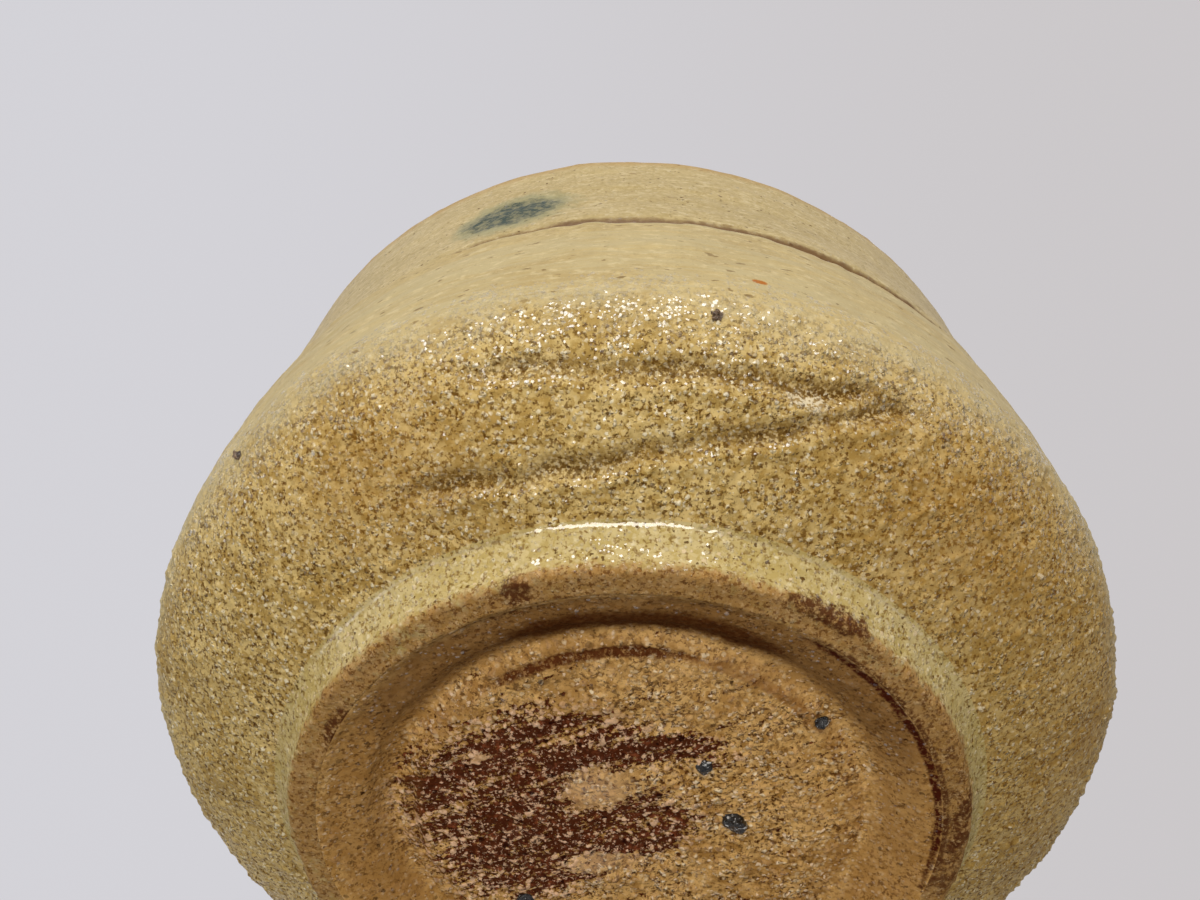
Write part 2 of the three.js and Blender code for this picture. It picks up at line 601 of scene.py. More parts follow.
def turned_mesh(name: str, rows: np.ndarray, poles: np.ndarray) -> bpy.types.Mesh:
    """Joins rows of points into a closed mesh.

    Args:
        name: Name of the mesh.
        rows: Points in millimetres, by row and by column round the axis.
        poles: True for each row that is one point on the axis.

    Returns:
        A mesh in metres, whose rows run round in a loop or from pole to pole.
    """
    columns = rows.shape[1]
    points = [row[:1] if pole else row for row, pole in zip(rows, poles)]
    starts = np.cumsum([0] + [len(row) for row in points[:-1]])
    here = np.arange(columns)
    beside = np.roll(here, -1)
    faces: list[list[int]] = []
    for index, start in enumerate(starts):
        after = (index + 1) % len(starts)
        if poles[index] and poles[after]:
            continue
        if poles[index]:
            corners = [np.full(columns, start), starts[after] + beside, starts[after] + here]
        elif poles[after]:
            corners = [start + here, start + beside, np.full(columns, starts[after])]
        else:
            corners = [start + here, start + beside, starts[after] + beside, starts[after] + here]
        faces.extend(np.stack(corners, axis=1).tolist())
    mesh = bpy.data.meshes.new(name)
    mesh.from_pydata((np.vstack(points) * MM).tolist(), [], faces)
    return mesh


@dataclass
class BellySkin(TurnedPiece):
    """Glaze from the girth up to the ridge, drawn out in soft rings."""

    def path(self) -> np.ndarray:
        """Up the belly, round the ridge's edge and in along its ledge.

        Returns:
            (radius, height) points in order.
        """
        belly = self.form.belly_path()
        edge = 0.3
        corner = (self.form.ridge_radius - edge, self.form.ridge_height - edge)
        ledge = [(self.form.wall_radius - 0.8, self.form.ridge_height)]
        upper = belly[belly[:, 1] >= self.form.belly_height]
        return np.vstack([upper[upper[:, 1] < corner[1]], arc(corner, edge, edge, 5.0, 90.0), ledge])

    def torn(self, rings: Rings) -> tuple[np.ndarray, np.ndarray]:
        """No furrows reach this high: nothing moves and nothing is torn."""
        return np.zeros(rings.turn.shape), np.zeros(rings.turn.shape)

    def relief(self, rings: Rings) -> Relief:
        """Glaze beads on the hip, thinning out above it into drawn rings, and the furrows.

        Args:
            rings: The visible points on the true turned form.

        Returns:
            The moves, and the shares that the finish reads.
        """
        places = rings.places
        grainy = eased(rings.height + 1.6 * rolling(places, 3.0, 3), 14.5, 9.0)
        sandy = eased(rolling(places, 2.6, 7) + 0.5 * rolling(places, 1.1, 8), -0.55, 0.45)
        melted = eased(rings.height, 6.0, 9.0)
        drops = beaded(places, 0.66, (0.1 + (0.12 + 0.6 * melted) * sandy) * grainy, 11)
        sugar = beaded(places, 0.42, 0.1 + (0.3 + 0.45 * sandy) * grainy, 10)
        beads = np.maximum(drops, 0.8 * sugar)
        lumps = 0.075 * rolling(places, 3.4, 1) + 0.05 * rolling(places, 1.3, 2)
        fine = 0.03 * rolling(places, 0.45, 4) * (0.3 + 0.7 * grainy)
        drawn = places * np.array([0.05, 0.05, 1.0])
        lines = (0.04 * rolling(drawn, 1.5, 5) + 0.02 * rolling(drawn, 0.7, 6)) * (1.0 - grainy)
        edge = np.exp(-(((rings.height - self.form.ridge_height) / 0.6) ** 2))
        crumbs = 0.1 * rolling(places, 1.0, 9) * edge
        move, torn = self.torn(rings)
        height = 0.15 * drops * grainy + sugar * (0.03 + 0.1 * grainy)
        rough = (lumps + height + fine + lines + crumbs) * self.blend(rings)
        return Relief(rough + move, {"grain": beads, "torn": torn})

    def blend(self, rings: Rings) -> np.ndarray:
        """The roughness dies away on the ledge, under the upper wall."""
        return rings.ends(0.0, 0.5)


@dataclass
class HipSkin(BellySkin):
    """Sugary glaze from the root of the foot up to the girth, with two furrows across it."""

    marks: tuple[ToolMark, ...] = (
        ToolMark((-106.0, -93.2, -82.7, -72.0, -60.3), (7.2, 6.75, 6.75, 6.9, 7.7), 0.85, 0.5, 0.16, 51),
        ToolMark(
            (-117.0, -103.9, -93.7, -81.8, -70.8, -59.0), (4.4, 3.85, 3.95, 4.5, 5.5, 7.7),
            0.8, 0.52, 0.18, 57,
        ),
    )

    def path(self) -> np.ndarray:
        """From the root up over the hip."""
        belly = self.form.belly_path()
        return belly[belly[:, 1] <= self.form.belly_height]

    def torn(self, rings: Rings) -> tuple[np.ndarray, np.ndarray]:
        """All furrows together: how far they move each point, and how much of it is torn.

        Args:
            rings: The visible points on the true turned form.

        Returns:
            How far each point moves, and how much of it is torn.
        """
        move = np.zeros(rings.turn.shape)
        share = np.zeros(rings.turn.shape)
        for mark in self.marks:
            shift, torn = mark.cut(rings.turn, rings.along, rings.path)
            move += shift
            share = np.maximum(share, torn)
        return move, share

    def blend(self, rings: Rings) -> np.ndarray:
        """The roughness dies away at the root, where the foot's glaze meets it."""
        return rings.ends(0.6, 0.0)


@dataclass
class WallSkin(TurnedPiece):
    """Smooth glaze of the upper wall and the whole lip."""

    step_turn: float = -34.0
    step_lean: float = 0.48

    def path(self) -> np.ndarray:
        """Up the wall, over the lip and a little way down inside."""
        return self.form.lip_path()

    def relief(self, rings: Rings) -> Relief:
        """Drawn throwing lines, a soft unevenness, and a step at the ridge that fades round the cup.

        Args:
            rings: The visible points on the true turned form.

        Returns:
            The moves, and the shares that the finish reads.
        """
        places = rings.places
        drawn = places * np.array([0.05, 0.05, 1.0])
        lines = 0.035 * rolling(drawn, 1.7, 21) + 0.015 * rolling(drawn, 0.7, 22)
        soft = 0.06 * rolling(places, 3.6, 23) + 0.03 * rolling(places, 1.2, 24)
        beads = beaded(places, 0.7, 0.3, 25)
        lean = self.step_lean * np.cos(np.radians(rings.turn - self.step_turn))
        step = lean * eased(rings.height, 33.0, 25.5) * eased(rings.along, 0.4, 1.8)
        return Relief((lines + soft + 0.03 * beads) * rings.ends(0.8, 1.5) + step, {"grain": beads})


@dataclass
class WellSkin(TurnedPiece):
    """Glaze inside the cup, over the rings that the fingers drew up."""

    ring_pitch: float = 5.2
    ring_height: float = 0.2

    def path(self) -> np.ndarray:
        """Down the inside of the wall to the middle of the well."""
        return self.form.well_path()

    def relief(self, rings: Rings) -> Relief:
        """A rising spiral of finger rings under a thick glaze.

        Args:
            rings: The visible points on the true turned form.

        Returns:
            The moves, and the shares that the finish reads.
        """
        climb = rings.along / self.ring_pitch + rings.turn / 360.0
        spiral = self.ring_height * np.sin(2.0 * math.pi * climb) * eased(rings.radius, 3.0, 14.0)
        soft = 0.1 * rolling(rings.places, 5.0, 31) + 0.04 * rolling(rings.places, 1.6, 32)
        beads = beaded(rings.places, 1.4, 0.25, 33)
        return Relief((spiral + soft + 0.03 * beads) * rings.ends(2.0, 2.0), {"grain": beads})


@dataclass
class FootSkin(TurnedPiece):
    """Glazed foot ring: the standing face between its round edges, and the flared wall."""

    def path(self) -> np.ndarray:
        """From the slope of the recess over the standing face to the root."""
        return self.form.foot_path()

    def relief(self, rings: Rings) -> Relief:
        """Thick pooled glaze on the wall and a worn standing face.

        Args:
            rings: The visible points on the true turned form.

        Returns:
            The moves, and the shares that the finish reads.
        """
        places = rings.places
        soft = 0.09 * rolling(places, 2.6, 41) + 0.05 * rolling(places, 1.0, 42)
        beads = beaded(places, 0.46, 0.5, 43)
        grains = 0.11 * beads
        low = eased(rings.height, 0.55, 0.1)
        worn = np.minimum(soft - 0.1 + grains, 0.0)
        move = ((soft + grains) * (1.0 - low) + worn * low) * rings.ends(0.6, 0.6)
        return Relief(move, {"grain": beads})


@dataclass
class RecessSkin(TurnedPiece):
    """Floor and slope under the foot, with the turning tool's spiral and a scorched bare patch."""

    spiral_pitch: float = 3.6
    spiral_height: float = 0.09
    crease_radius: float = 14.25

    def path(self) -> np.ndarray:
        """From the axis out to the standing face."""
        return self.form.recess_path()

    def back(self) -> np.ndarray:
        """A plain back, from the standing face to the axis.

        Returns:
            (radius, height) points in order.
        """
        radius, height = self.form.recess
        rim, low = self.form.recess_path()[-1]
        return np.array([(rim, low + self.depth), (radius, height + self.depth), (0.0, height + self.depth)])

    def relief(self, rings: Rings) -> Relief:
        """The tool's spiral, a crease along part of the edge, and glaze missing from the patch.

        Args:
            rings: The visible points on the true turned form.

        Returns:
            The moves, and the shares that the finish reads.
        """
        places = rings.places
        climb = rings.radius / self.spiral_pitch - rings.turn / 360.0
        spiral = self.spiral_height * np.sin(2.0 * math.pi * climb) * eased(rings.radius, 1.0, 7.0)
        soft = 0.1 * rolling(places, 3.0, 61) + 0.06 * rolling(places, 1.2, 62)
        sandy = eased(rolling(places, 2.2, 65), -0.6, 0.5)
        beads = beaded(places, 0.42, 0.3 + 0.5 * sandy, 63)
        calm = 1.0 - 0.5 * eased(rings.radius, 14.8, 16.0)
        grains = (0.19 * beads + 0.03 * rolling(places, 0.5, 64)) * calm
        patch = np.max([blotch.share(places) for blotch in SCORCHED], axis=0)
        round_edge = np.exp(-(((rings.radius - self.crease_radius) / 0.3) ** 2))
        upper = eased(rings.turn, -132.0, -120.0) * eased(rings.turn, -66.0, -82.0)
        lower = eased(rings.turn, 128.0, 148.0) + eased(rings.turn, -160.0, -174.0)
        crease = -0.24 * round_edge * np.clip(upper + lower, 0.0, 1.0)
        move = (spiral + soft + grains * (1.0 - 0.4 * patch) - 0.07 * patch) * rings.ends(0.0, 0.6) + crease
        return Relief(move, {"grain": beads})


@dataclass
class ClayCore(TurnedPiece):
    """Fired clay that fills the cup between its glazed skins."""

    inset: float = 1.15

    def path(self) -> np.ndarray:
        """The cup's whole outside and inside, set back under the glaze.

        Returns:
            (radius, height) points in order.
        """
        form = self.form
        outside = (form.recess_path(), form.foot_path(), form.belly_path(), form.lip_path(), form.well_path())
        path = walked(np.vstack(outside), self.step)
        core = path + self.inset * inward(path)
        core[:, 0] = np.maximum(core[:, 0], 0.0)
        core[0, 0] = core[-1, 0] = 0.0
        return core

    def back(self) -> np.ndarray:
        """Nothing: the core is solid."""
        return np.zeros((0, 2))

    def relief(self, rings: Rings) -> Relief:
        """A thrown but unturned surface."""
        return Relief(0.08 * rolling(rings.places, 3.0, 71) * rings.ends(1.0, 1.0), {})


@dataclass
class GritBead(Piece):
    """A bead of molten iron grit, broken into facets and sunk in the glaze."""

    node: str
    seed: int
    rugged: float = 0.1
    facets: int = 16
    facet_depths: Pair = (0.62, 0.92)
    spread: float = 1.08
    squash: float = 0.72
    crease: float = 28.0
    fineness: int = 4
    flatness: float = 0.9
    dent_size: float = 0.45
    form: CupForm = CupForm()

    def outward(self, place: Vector) -> Vector:
        """The way out of the cup's surface: down under the foot, square to the belly on the hip.

        Args:
            place: A point in metres.

        Returns:
            A direction of length 1.
        """
        if math.hypot(place.x, place.y) / MM < self.form.root[0]:
            return Vector((0.0, 0.0, -1.0))
        path = self.form.belly_path()
        spot = int(np.argmin(np.abs(path[:, 1] - place.z / MM)))
        along = path[spot + 1] - path[spot - 1]
        out = Vector((place.x, place.y, 0.0)).normalized()
        return (out * along[1] + Vector((0.0, 0.0, -along[0]))).normalized()

    def build(self) -> bpy.types.Object:
        """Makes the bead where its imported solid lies.

        Returns:
            The object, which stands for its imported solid.
        """
        low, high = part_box(self.node)
        centre, half = (low + high) / 2, (high - low) / 2
        across = max(half) * self.spread
        sizes = np.array([across, across, across * self.squash])
        turn = self.outward(centre).to_track_quat("Z", "Y").to_matrix()
        chance = np.random.default_rng(self.seed)
        shape = bmesh.new()
        bmesh.ops.create_icosphere(shape, subdivisions=self.fineness, radius=1.0)
        planes = chance.normal(size=(self.facets, 3))
        planes /= np.linalg.norm(planes, axis=1)[:, None]
        limits = chance.uniform(*self.facet_depths, self.facets)
        for vertex in shape.verts:
            place = np.array(vertex.co)
            for plane, limit in zip(planes, limits):
                place = place - plane * max(0.0, float(place @ plane) - limit) * self.flatness
            dent = 1.0 + self.rugged * float(rolling(place[None, :], self.dent_size, self.seed)[0])
            vertex.co = centre + turn @ Vector(place * dent * sizes)
        name = self.node + "_bead"
        mesh = bpy.data.meshes.new(name)
        shape.to_mesh(mesh)
        shape.free()
        return self.settled(name, mesh, self.node, "iron_grit", self.crease)


# Shader wiring

class Kind(Enum):
    """Kinds of socket on an effect."""

    NUMBER = "NodeSocketFloat"
    PLACE = "NodeSocketVector"


class Value:
    """What a node puts out. Numbers can be used in sums as plain numbers are."""

    def __init__(self, net: "Wiring", socket: Socket) -> None:
        """Keeps the socket and the tree that it is in."""
        self.net = net
        self.socket = socket

    def __add__(self, other: "Feed") -> "Value":
        """The sum."""
        return self.net.math("ADD", self, other)

    def __sub__(self, other: "Feed") -> "Value":
        """The difference."""
        return self.net.math("SUBTRACT", self, other)

    def __rsub__(self, other: float) -> "Value":
        """What is left of a plain number."""
        return self.net.math("SUBTRACT", other, self)

    def __mul__(self, other: "Feed") -> "Value":
        """The product."""
        return self.net.math("MULTIPLY", self, other)

    def __truediv__(self, other: "Feed") -> "Value":
        """The quotient."""
        return self.net.math("DIVIDE", self, other)

    def __rtruediv__(self, other: float) -> "Value":
        """A plain number over this one."""
        return self.net.math("DIVIDE", other, self)

    def __or__(self, other: "Feed") -> "Value":
        """The larger of two numbers, which joins two masks."""
        return self.net.math("MAXIMUM", self, other)

    def clamped(self) -> "Value":
        """The number, kept from 0 to 1."""
        return self.net.get("Clamp", 0, {0: self})


Feed = float | tuple[float, ...] | Value
Feeds = dict[str | int, Feed]


class Wiring:
    """Places nodes in one node tree and links them as they are placed."""

    def __init__(self, tree: bpy.types.NodeTree) -> None:
        """Starts on an empty tree."""
        self.tree = tree
        tree.nodes.clear()

    def feed(self, socket: Socket, value: Feed) -> None:
        """Links a socket to what another node puts out, or sets its own value.

        Args:
            socket: The socket to feed.
            value: A node's output, or a plain value.
        """
        if isinstance(value, Value):
            self.tree.links.new(value.socket, socket)
        elif socket.type == "RGBA":
            socket.default_value = (*value, 1.0)
        else:
            socket.default_value = value

    def place(self, kind: str, feeds: Feeds, **settings: object) -> bpy.types.Node:
        """Places a node.

        Args:
            kind: The node's type, without its ShaderNode prefix.
            feeds: What goes into its inputs, by name or by number.
            **settings: The node's own settings.

        Returns:
            The node.
        """
        node = self.tree.nodes.new("ShaderNode" + kind)
        for name, value in settings.items():
            setattr(node, name, value)
        for key, value in feeds.items():
            self.feed(node.inputs[key], value)
        return node

    def get(self, kind: str, output: str | int, feeds: Feeds | None = None, **settings: object) -> Value:
        """Places a node and gives one of its outputs."""
        return Value(self, self.place(kind, feeds or {}, **settings).outputs[output])

    def math(self, operation: str, *values: Feed) -> Value:
        """Sums, products and the like of one to three numbers."""
        return self.get("Math", 0, dict(enumerate(values)), operation=operation)

    def vector(self, operation: str, *values: Feed, output: str = "Vector") -> Value:
        """Sums, products and the like of one or two places."""
        return self.get("VectorMath", output, dict(enumerate(values)), operation=operation)

    def scaled(self, place: Feed, scale: Feed) -> Value:
        """A place made larger or smaller."""
        return self.get("VectorMath", 0, {0: place, "Scale": scale}, operation="SCALE")

    def turned(self, place: Feed, angle: Feed) -> Value:
        """A place turned about the cup's axis by an angle in radians."""
        return self.get("VectorRotate", 0, {"Vector": place, "Angle": angle}, rotation_type="Z_AXIS")

    def blend(self, share: Feed, first: Feed, second: Feed) -> Value:
        """Mixes the second colour into the first by a share."""
        return self.get("Mix", 2, {0: share, 6: first, 7: second}, data_type="RGBA")

    def eased(self, value: Feed, start: float, end: float, low: float = 0.0, high: float = 1.0) -> Value:
        """Rises smoothly from one value to another while its input goes from a start to an end."""
        feeds = {"Value": value, "From Min": start, "From Max": end, "To Min": low, "To Max": high}
        return self.get("MapRange", 0, feeds, interpolation_type="SMOOTHSTEP")

    def noise(self, place: Feed, scale: Feed, detail: float = 2.0, rough: float = 0.5) -> Value:
        """Cloudy noise from 0 to 1."""
        feeds = {"Vector": place, "Scale": scale, "Detail": detail, "Roughness": rough}
        return self.get("TexNoise", 0, feeds)

    def warped(self, place: Feed, scale: Feed, detail: float, push: Feed) -> Value:
        """A place pushed about by cloudy noise."""
        cloud = self.get("TexNoise", 1, {"Vector": place, "Scale": scale, "Detail": detail})
        return self.vector("ADD", place, self.scaled(cloud, push))

    def split(self, whole: Feed, kind: str = "SeparateXYZ") -> tuple[Value, ...]:
        """The three numbers that a place or a colour is made of."""
        return tuple(Value(self, part) for part in self.place(kind, {0: whole}).outputs)

    def cells(self, place: Feed, scale: Feed) -> tuple[Value, ...]:
        """The distance to the nearest of many scattered points, and three chances of that point's own.

        Args:
            place: Where on the piece, in millimetres.
            scale: How many cells there are to a millimetre.

        Returns:
            The distance and the three chances.
        """
        node = self.place("TexVoronoi", {"Vector": place, "Scale": scale})
        far, colour = Value(self, node.outputs["Distance"]), Value(self, node.outputs["Color"])
        return far, *self.split(colour, "SeparateColor")

    def stored(self, name: str) -> Value:
        """A share that was stored at the mesh's points."""
        return self.get("Attribute", "Fac", attribute_name=name)

    def millimetres(self) -> Value:
        """The piece's own coordinates in millimetres."""
        return self.scaled(self.get("TexCoord", "Object"), 1.0 / MM)

    def surface(self, colour: Feed, roughness: Feed, height: Feed, **constants: Feed) -> None:
        """Ends a material with a bumped shader, whose constants are named with _ for a space.

        Args:
            colour: Feeds Base Color.
            roughness: Feeds Roughness.
            height: Height of the bump in millimetres.
            **constants: Other inputs of the shader.
        """
        bump = self.get("Bump", 0, {"Height": height, "Distance": MM, "Strength": 1.0})
        feeds = {"Base Color": colour, "Roughness": roughness, "Normal": bump}
        feeds.update({name.replace("_", " "): value for name, value in constants.items()})
        self.place("OutputMaterial", {"Surface": self.get("BsdfPrincipled", 0, feeds)})


def started(name: str) -> tuple[bpy.types.Material, Wiring]:
    """A new material, and the wiring of its tree.

    Args:
        name: Name of the material.

    Returns:
        The material and its wiring.
    """
    material = bpy.data.materials.new(name)
    material.use_nodes = True
    return material, Wiring(material.node_tree)


class Effect:
    """A shader node group with named inputs and outputs, built once and placed in many materials."""

    name: str = ""
    places: tuple[str, ...] = ("Place",)
    numbers: tuple[str, ...] = ()
    outputs: tuple[str, ...] = ("Mask",)

    def wire(self, net: Wiring, given: dict[str, Value]) -> dict[str, Value]:
        """Builds the group's nodes between its inputs and its outputs."""
        raise NotImplementedError

    def tree(self) -> bpy.types.NodeTree:
        """The group's node tree, which is built the first time that it is asked for.

        Returns:
            The node tree.
        """
        known = bpy.data.node_groups.get(self.name)
        if known:
            return known
        tree = bpy.data.node_groups.new(self.name, "ShaderNodeTree")
        sockets = [(name, "INPUT", Kind.PLACE) for name in self.places]
        sockets += [(name, "INPUT", Kind.NUMBER) for name in self.numbers]
        sockets += [(name, "OUTPUT", Kind.NUMBER) for name in self.outputs]
        for name, side, kind in sockets:
            tree.interface.new_socket(name=name, in_out=side, socket_type=kind.value)
        net = Wiring(tree)
        start = tree.nodes.new("NodeGroupInput")
        end = tree.nodes.new("NodeGroupOutput")
        given = {name: Value(net, start.outputs[name]) for name in (*self.places, *self.numbers)}
        for name, value in self.wire(net, given).items():
            net.feed(end.inputs[name], value)
        return tree

    def put(self, net: Wiring, *feeds: Feed) -> dict[str, Value]:
        """Places the group in a tree.

        Args:
            net: The tree to place it in.
            *feeds: What goes into the group's places and then into its numbers, in their order.

        Returns:
            The group's outputs, by name.
        """
        node = net.place("Group", {}, node_tree=self.tree())
        for name, value in zip((*self.places, *self.numbers), feeds, strict=True):
            net.feed(node.inputs[name], value)
        return {name: Value(net, node.outputs[name]) for name in self.outputs}


class SugarGrain(Effect):
    """Half-melted ash: clear grains of many tones, and brown gaps round them in sandy patches."""

    name = "sugar_grain"
    numbers = ("Size",)
    outputs = ("Height", "Shade", "Crystals", "Gaps")

    def wire(self, net: Wiring, given: dict[str, Value]) -> dict[str, Value]:
        """Grains and gaps from warped cells, gathered by a wide noise.

        Args:
            net: The tree to place nodes in.
            given: The group's inputs, by name.

        Returns:
            The group's outputs, by name.
        """
        place, size = given.values()
        scale = 1.0 / size
        warped = net.warped(place, scale, 1.0, size * 0.9)
        far, lift, clear, tone = net.cells(warped, scale)
        cracks = {"Vector": warped, "Scale": scale}
        edge = net.get("TexVoronoi", "Distance", cracks, feature="DISTANCE_TO_EDGE")
        sandy = net.eased(net.noise(place, scale * 0.12, 4.0, 0.6), 0.4, 0.58, 0.4, 1.0)
        broken = net.eased(net.noise(place, scale * 0.9, 3.0, 0.65), 0.52, 0.62)
        return {
            "Height": net.eased(far, 0.62, 0.0) * net.eased(lift, 0.25, 0.7) * sandy,
            "Shade": (tone - 0.5) * sandy,
            "Crystals": net.eased(far, 0.55, 0.3) * net.eased(clear, 0.5, 0.8),
            "Gaps": net.eased(edge, 0.3, 0.04) * broken * sandy,
        }


class GlassBeads(Effect):
    """Round beads of clear melted ash: how high they stand, in millimetres, and where they are."""

    name = "glass_beads"
    numbers = ("Size", "Share")
    outputs = ("Height", "Mask")

    def wire(self, net: Wiring, given: dict[str, Value]) -> dict[str, Value]:
        """A dome in the middle of a share of the cells.

        Args:
            net: The tree to place nodes in.
            given: The group's inputs, by name.

        Returns:
            The group's outputs, by name.
        """
        place, size, share = given.values()
        far, chance, girth, _ = net.cells(place, 1.0 / size)
        there = net.eased(chance + share - 1.0, 0.0, 0.04)
        half = girth * 0.24 + 0.24
        off = far / half
        dome = 1.0 - off * off | 0.0
        return {
            "Height": dome * (half * size * 0.35) * there,
            "Mask": net.eased(dome, 0.05, 0.4) * there,
        }


class Drift(Effect):
    """Cloudy change of tone, as glaze runs thick and thin."""

    name = "drift"
    places = ("Place", "Stretch")
    numbers = ("Size",)
    outputs = ("Tone",)

    def wire(self, net: Wiring, given: dict[str, Value]) -> dict[str, Value]:
        """Two sizes of noise on a stretched place.

        Args:
            net: The tree to place nodes in.
            given: The group's inputs, by name.

        Returns:
            The group's outputs, by name.
        """
        place, stretch, size = given.values()
        drawn = net.vector("MULTIPLY", place, stretch)
        scale = 1.0 / size
        wide = net.noise(drawn, scale, 3.0, 0.55)
        fine = net.noise(drawn, scale * 6.0, 3.0, 0.6)
        return {"Tone": net.eased(fine * 0.45 + wide * 0.55, 0.36, 0.64)}


class Pinholes(Effect):
    """Small round pits and specks, scattered unevenly."""

    name = "pinholes"
    numbers = ("Size", "Rarity")

    def wire(self, net: Wiring, given: dict[str, Value]) -> dict[str, Value]:
        """The middles of some cells, gathered by a wide noise.

        Args:
            net: The tree to place nodes in.
            given: The group's inputs, by name.

        Returns:
            The group's outputs, by name.
        """
        place, size, rarity = given.values()
        scale = 1.0 / size
        warped = net.warped(place, scale * 1.6, 2.0, size * 1.1)
        far, chance, girth, _ = net.cells(warped, scale)
        limit = rarity + 0.4 - net.noise(place, scale * 0.15, 3.0) * 0.8
        there = net.eased(chance - limit, 0.0, 0.04)
        half = net.math("POWER", girth, 3.0) * 0.3 + 0.1
        return {"Mask": net.eased(far - half, 0.06, -0.06) * there}


class Stain(Effect):
    """A blotch with a frayed edge."""

    name = "stain"
    places = ("Place", "Centre", "Reach")
    numbers = ("Turn", "Fray", "Fray Size")
    outputs = ("Mask", "Nearness")

    def wire(self, net: Wiring, given: dict[str, Value]) -> dict[str, Value]:
        """Distance from the middle in shares of the reach, moved to and fro by noise.

        Args:
            net: The tree to place nodes in.
            given: The group's inputs, by name.

        Returns:
            The group's outputs, by name.
        """
        place, centre, size, turn, fray, fray_size = given.values()
        turned = net.turned(net.vector("SUBTRACT", place, centre), turn * -1.0)
        far = net.vector("LENGTH", net.vector("DIVIDE", turned, size), output="Value")
        ragged = net.noise(place, 1.0 / fray_size, 7.0, 0.72) - 0.5
        return {
            "Mask": net.eased(ragged * fray + far, 1.05, 0.7),
            "Nearness": net.math("POWER", 0.5, far * far),
        }


class RingMark(Effect):
    """A stain that follows part of a circle round the axis."""

    name = "ring_mark"
    numbers = ("Radius", "Width", "Turn", "Spread", "Fray")

    def wire(self, net: Wiring, given: dict[str, Value]) -> dict[str, Value]:
        """Nearness to the circle and to the middle turn, in radians, frayed by noise.

        Args:
            net: The tree to place nodes in.
            given: The group's inputs, by name.

        Returns:
            The group's outputs, by name.
        """
        place, radius, width, turn, spread, fray = given.values()
        x, y, _ = net.split(place)
        ragged = net.noise(place, 0.9, 7.0, 0.72) - 0.5
        across = net.math("ABSOLUTE", net.math("SQRT", x * x + y * y) - radius) / width
        off = net.math("WRAP", net.math("ARCTAN2", y, x) - turn, math.pi, -math.pi)
        end = net.math("POWER", net.math("ABSOLUTE", off) / spread, 6.0)
        far = net.math("SQRT", across * across + end)
        return {"Mask": net.eased(ragged * fray + far, 1.1, 0.5)}


SUGAR_GRAIN = SugarGrain()
GLASS_BEADS = GlassBeads()
DRIFT = Drift()
PINHOLES = Pinholes()
STAIN = Stain()
RING_MARK = RingMark()


# Finishes

@dataclass
class Coat:
    """What the nodes have made of a surface so far."""

    net: Wiring
    place: Value
    colour: Value
    roughness: Value
    height: Value
    gloss: Value
    bits: Value
    specks: Value

    def lay(self, colour: Feed, *shares: Feed) -> None:
        """Lays a colour over the surface, by the product of its shares."""
        self.colour = self.net.blend(reduce(mul, shares), self.colour, colour)

    def stain(self, blotch: Blotch, output: str = "Mask") -> Value:
        """Where one blotch lies, as a mask or as the nearness to its middle."""
        feeds = (blotch.centre, blotch.reach, math.radians(blotch.turn), blotch.fray, blotch.fray_size)
        return STAIN.put(self.net, self.place, *feeds)[output]

    def ring(self, radius: float, width: float, turns: Pair, fray: float) -> Value:
        """Where a mark lies that follows the cup round from one turn in degrees to another.

        Args:
            radius: Radius of the circle.
            width: Half width of the mark.
            turns: First and last turn in degrees.
            fray: How far noise moves the edge.

        Returns:
            The mark's mask.
        """
        middle, spread = (turns[0] + turns[1]) / 2, (turns[1] - turns[0]) / 2
        feeds = (radius, width, math.radians(middle), math.radians(spread), fray)
        return RING_MARK.put(self.net, self.place, *feeds)["Mask"]


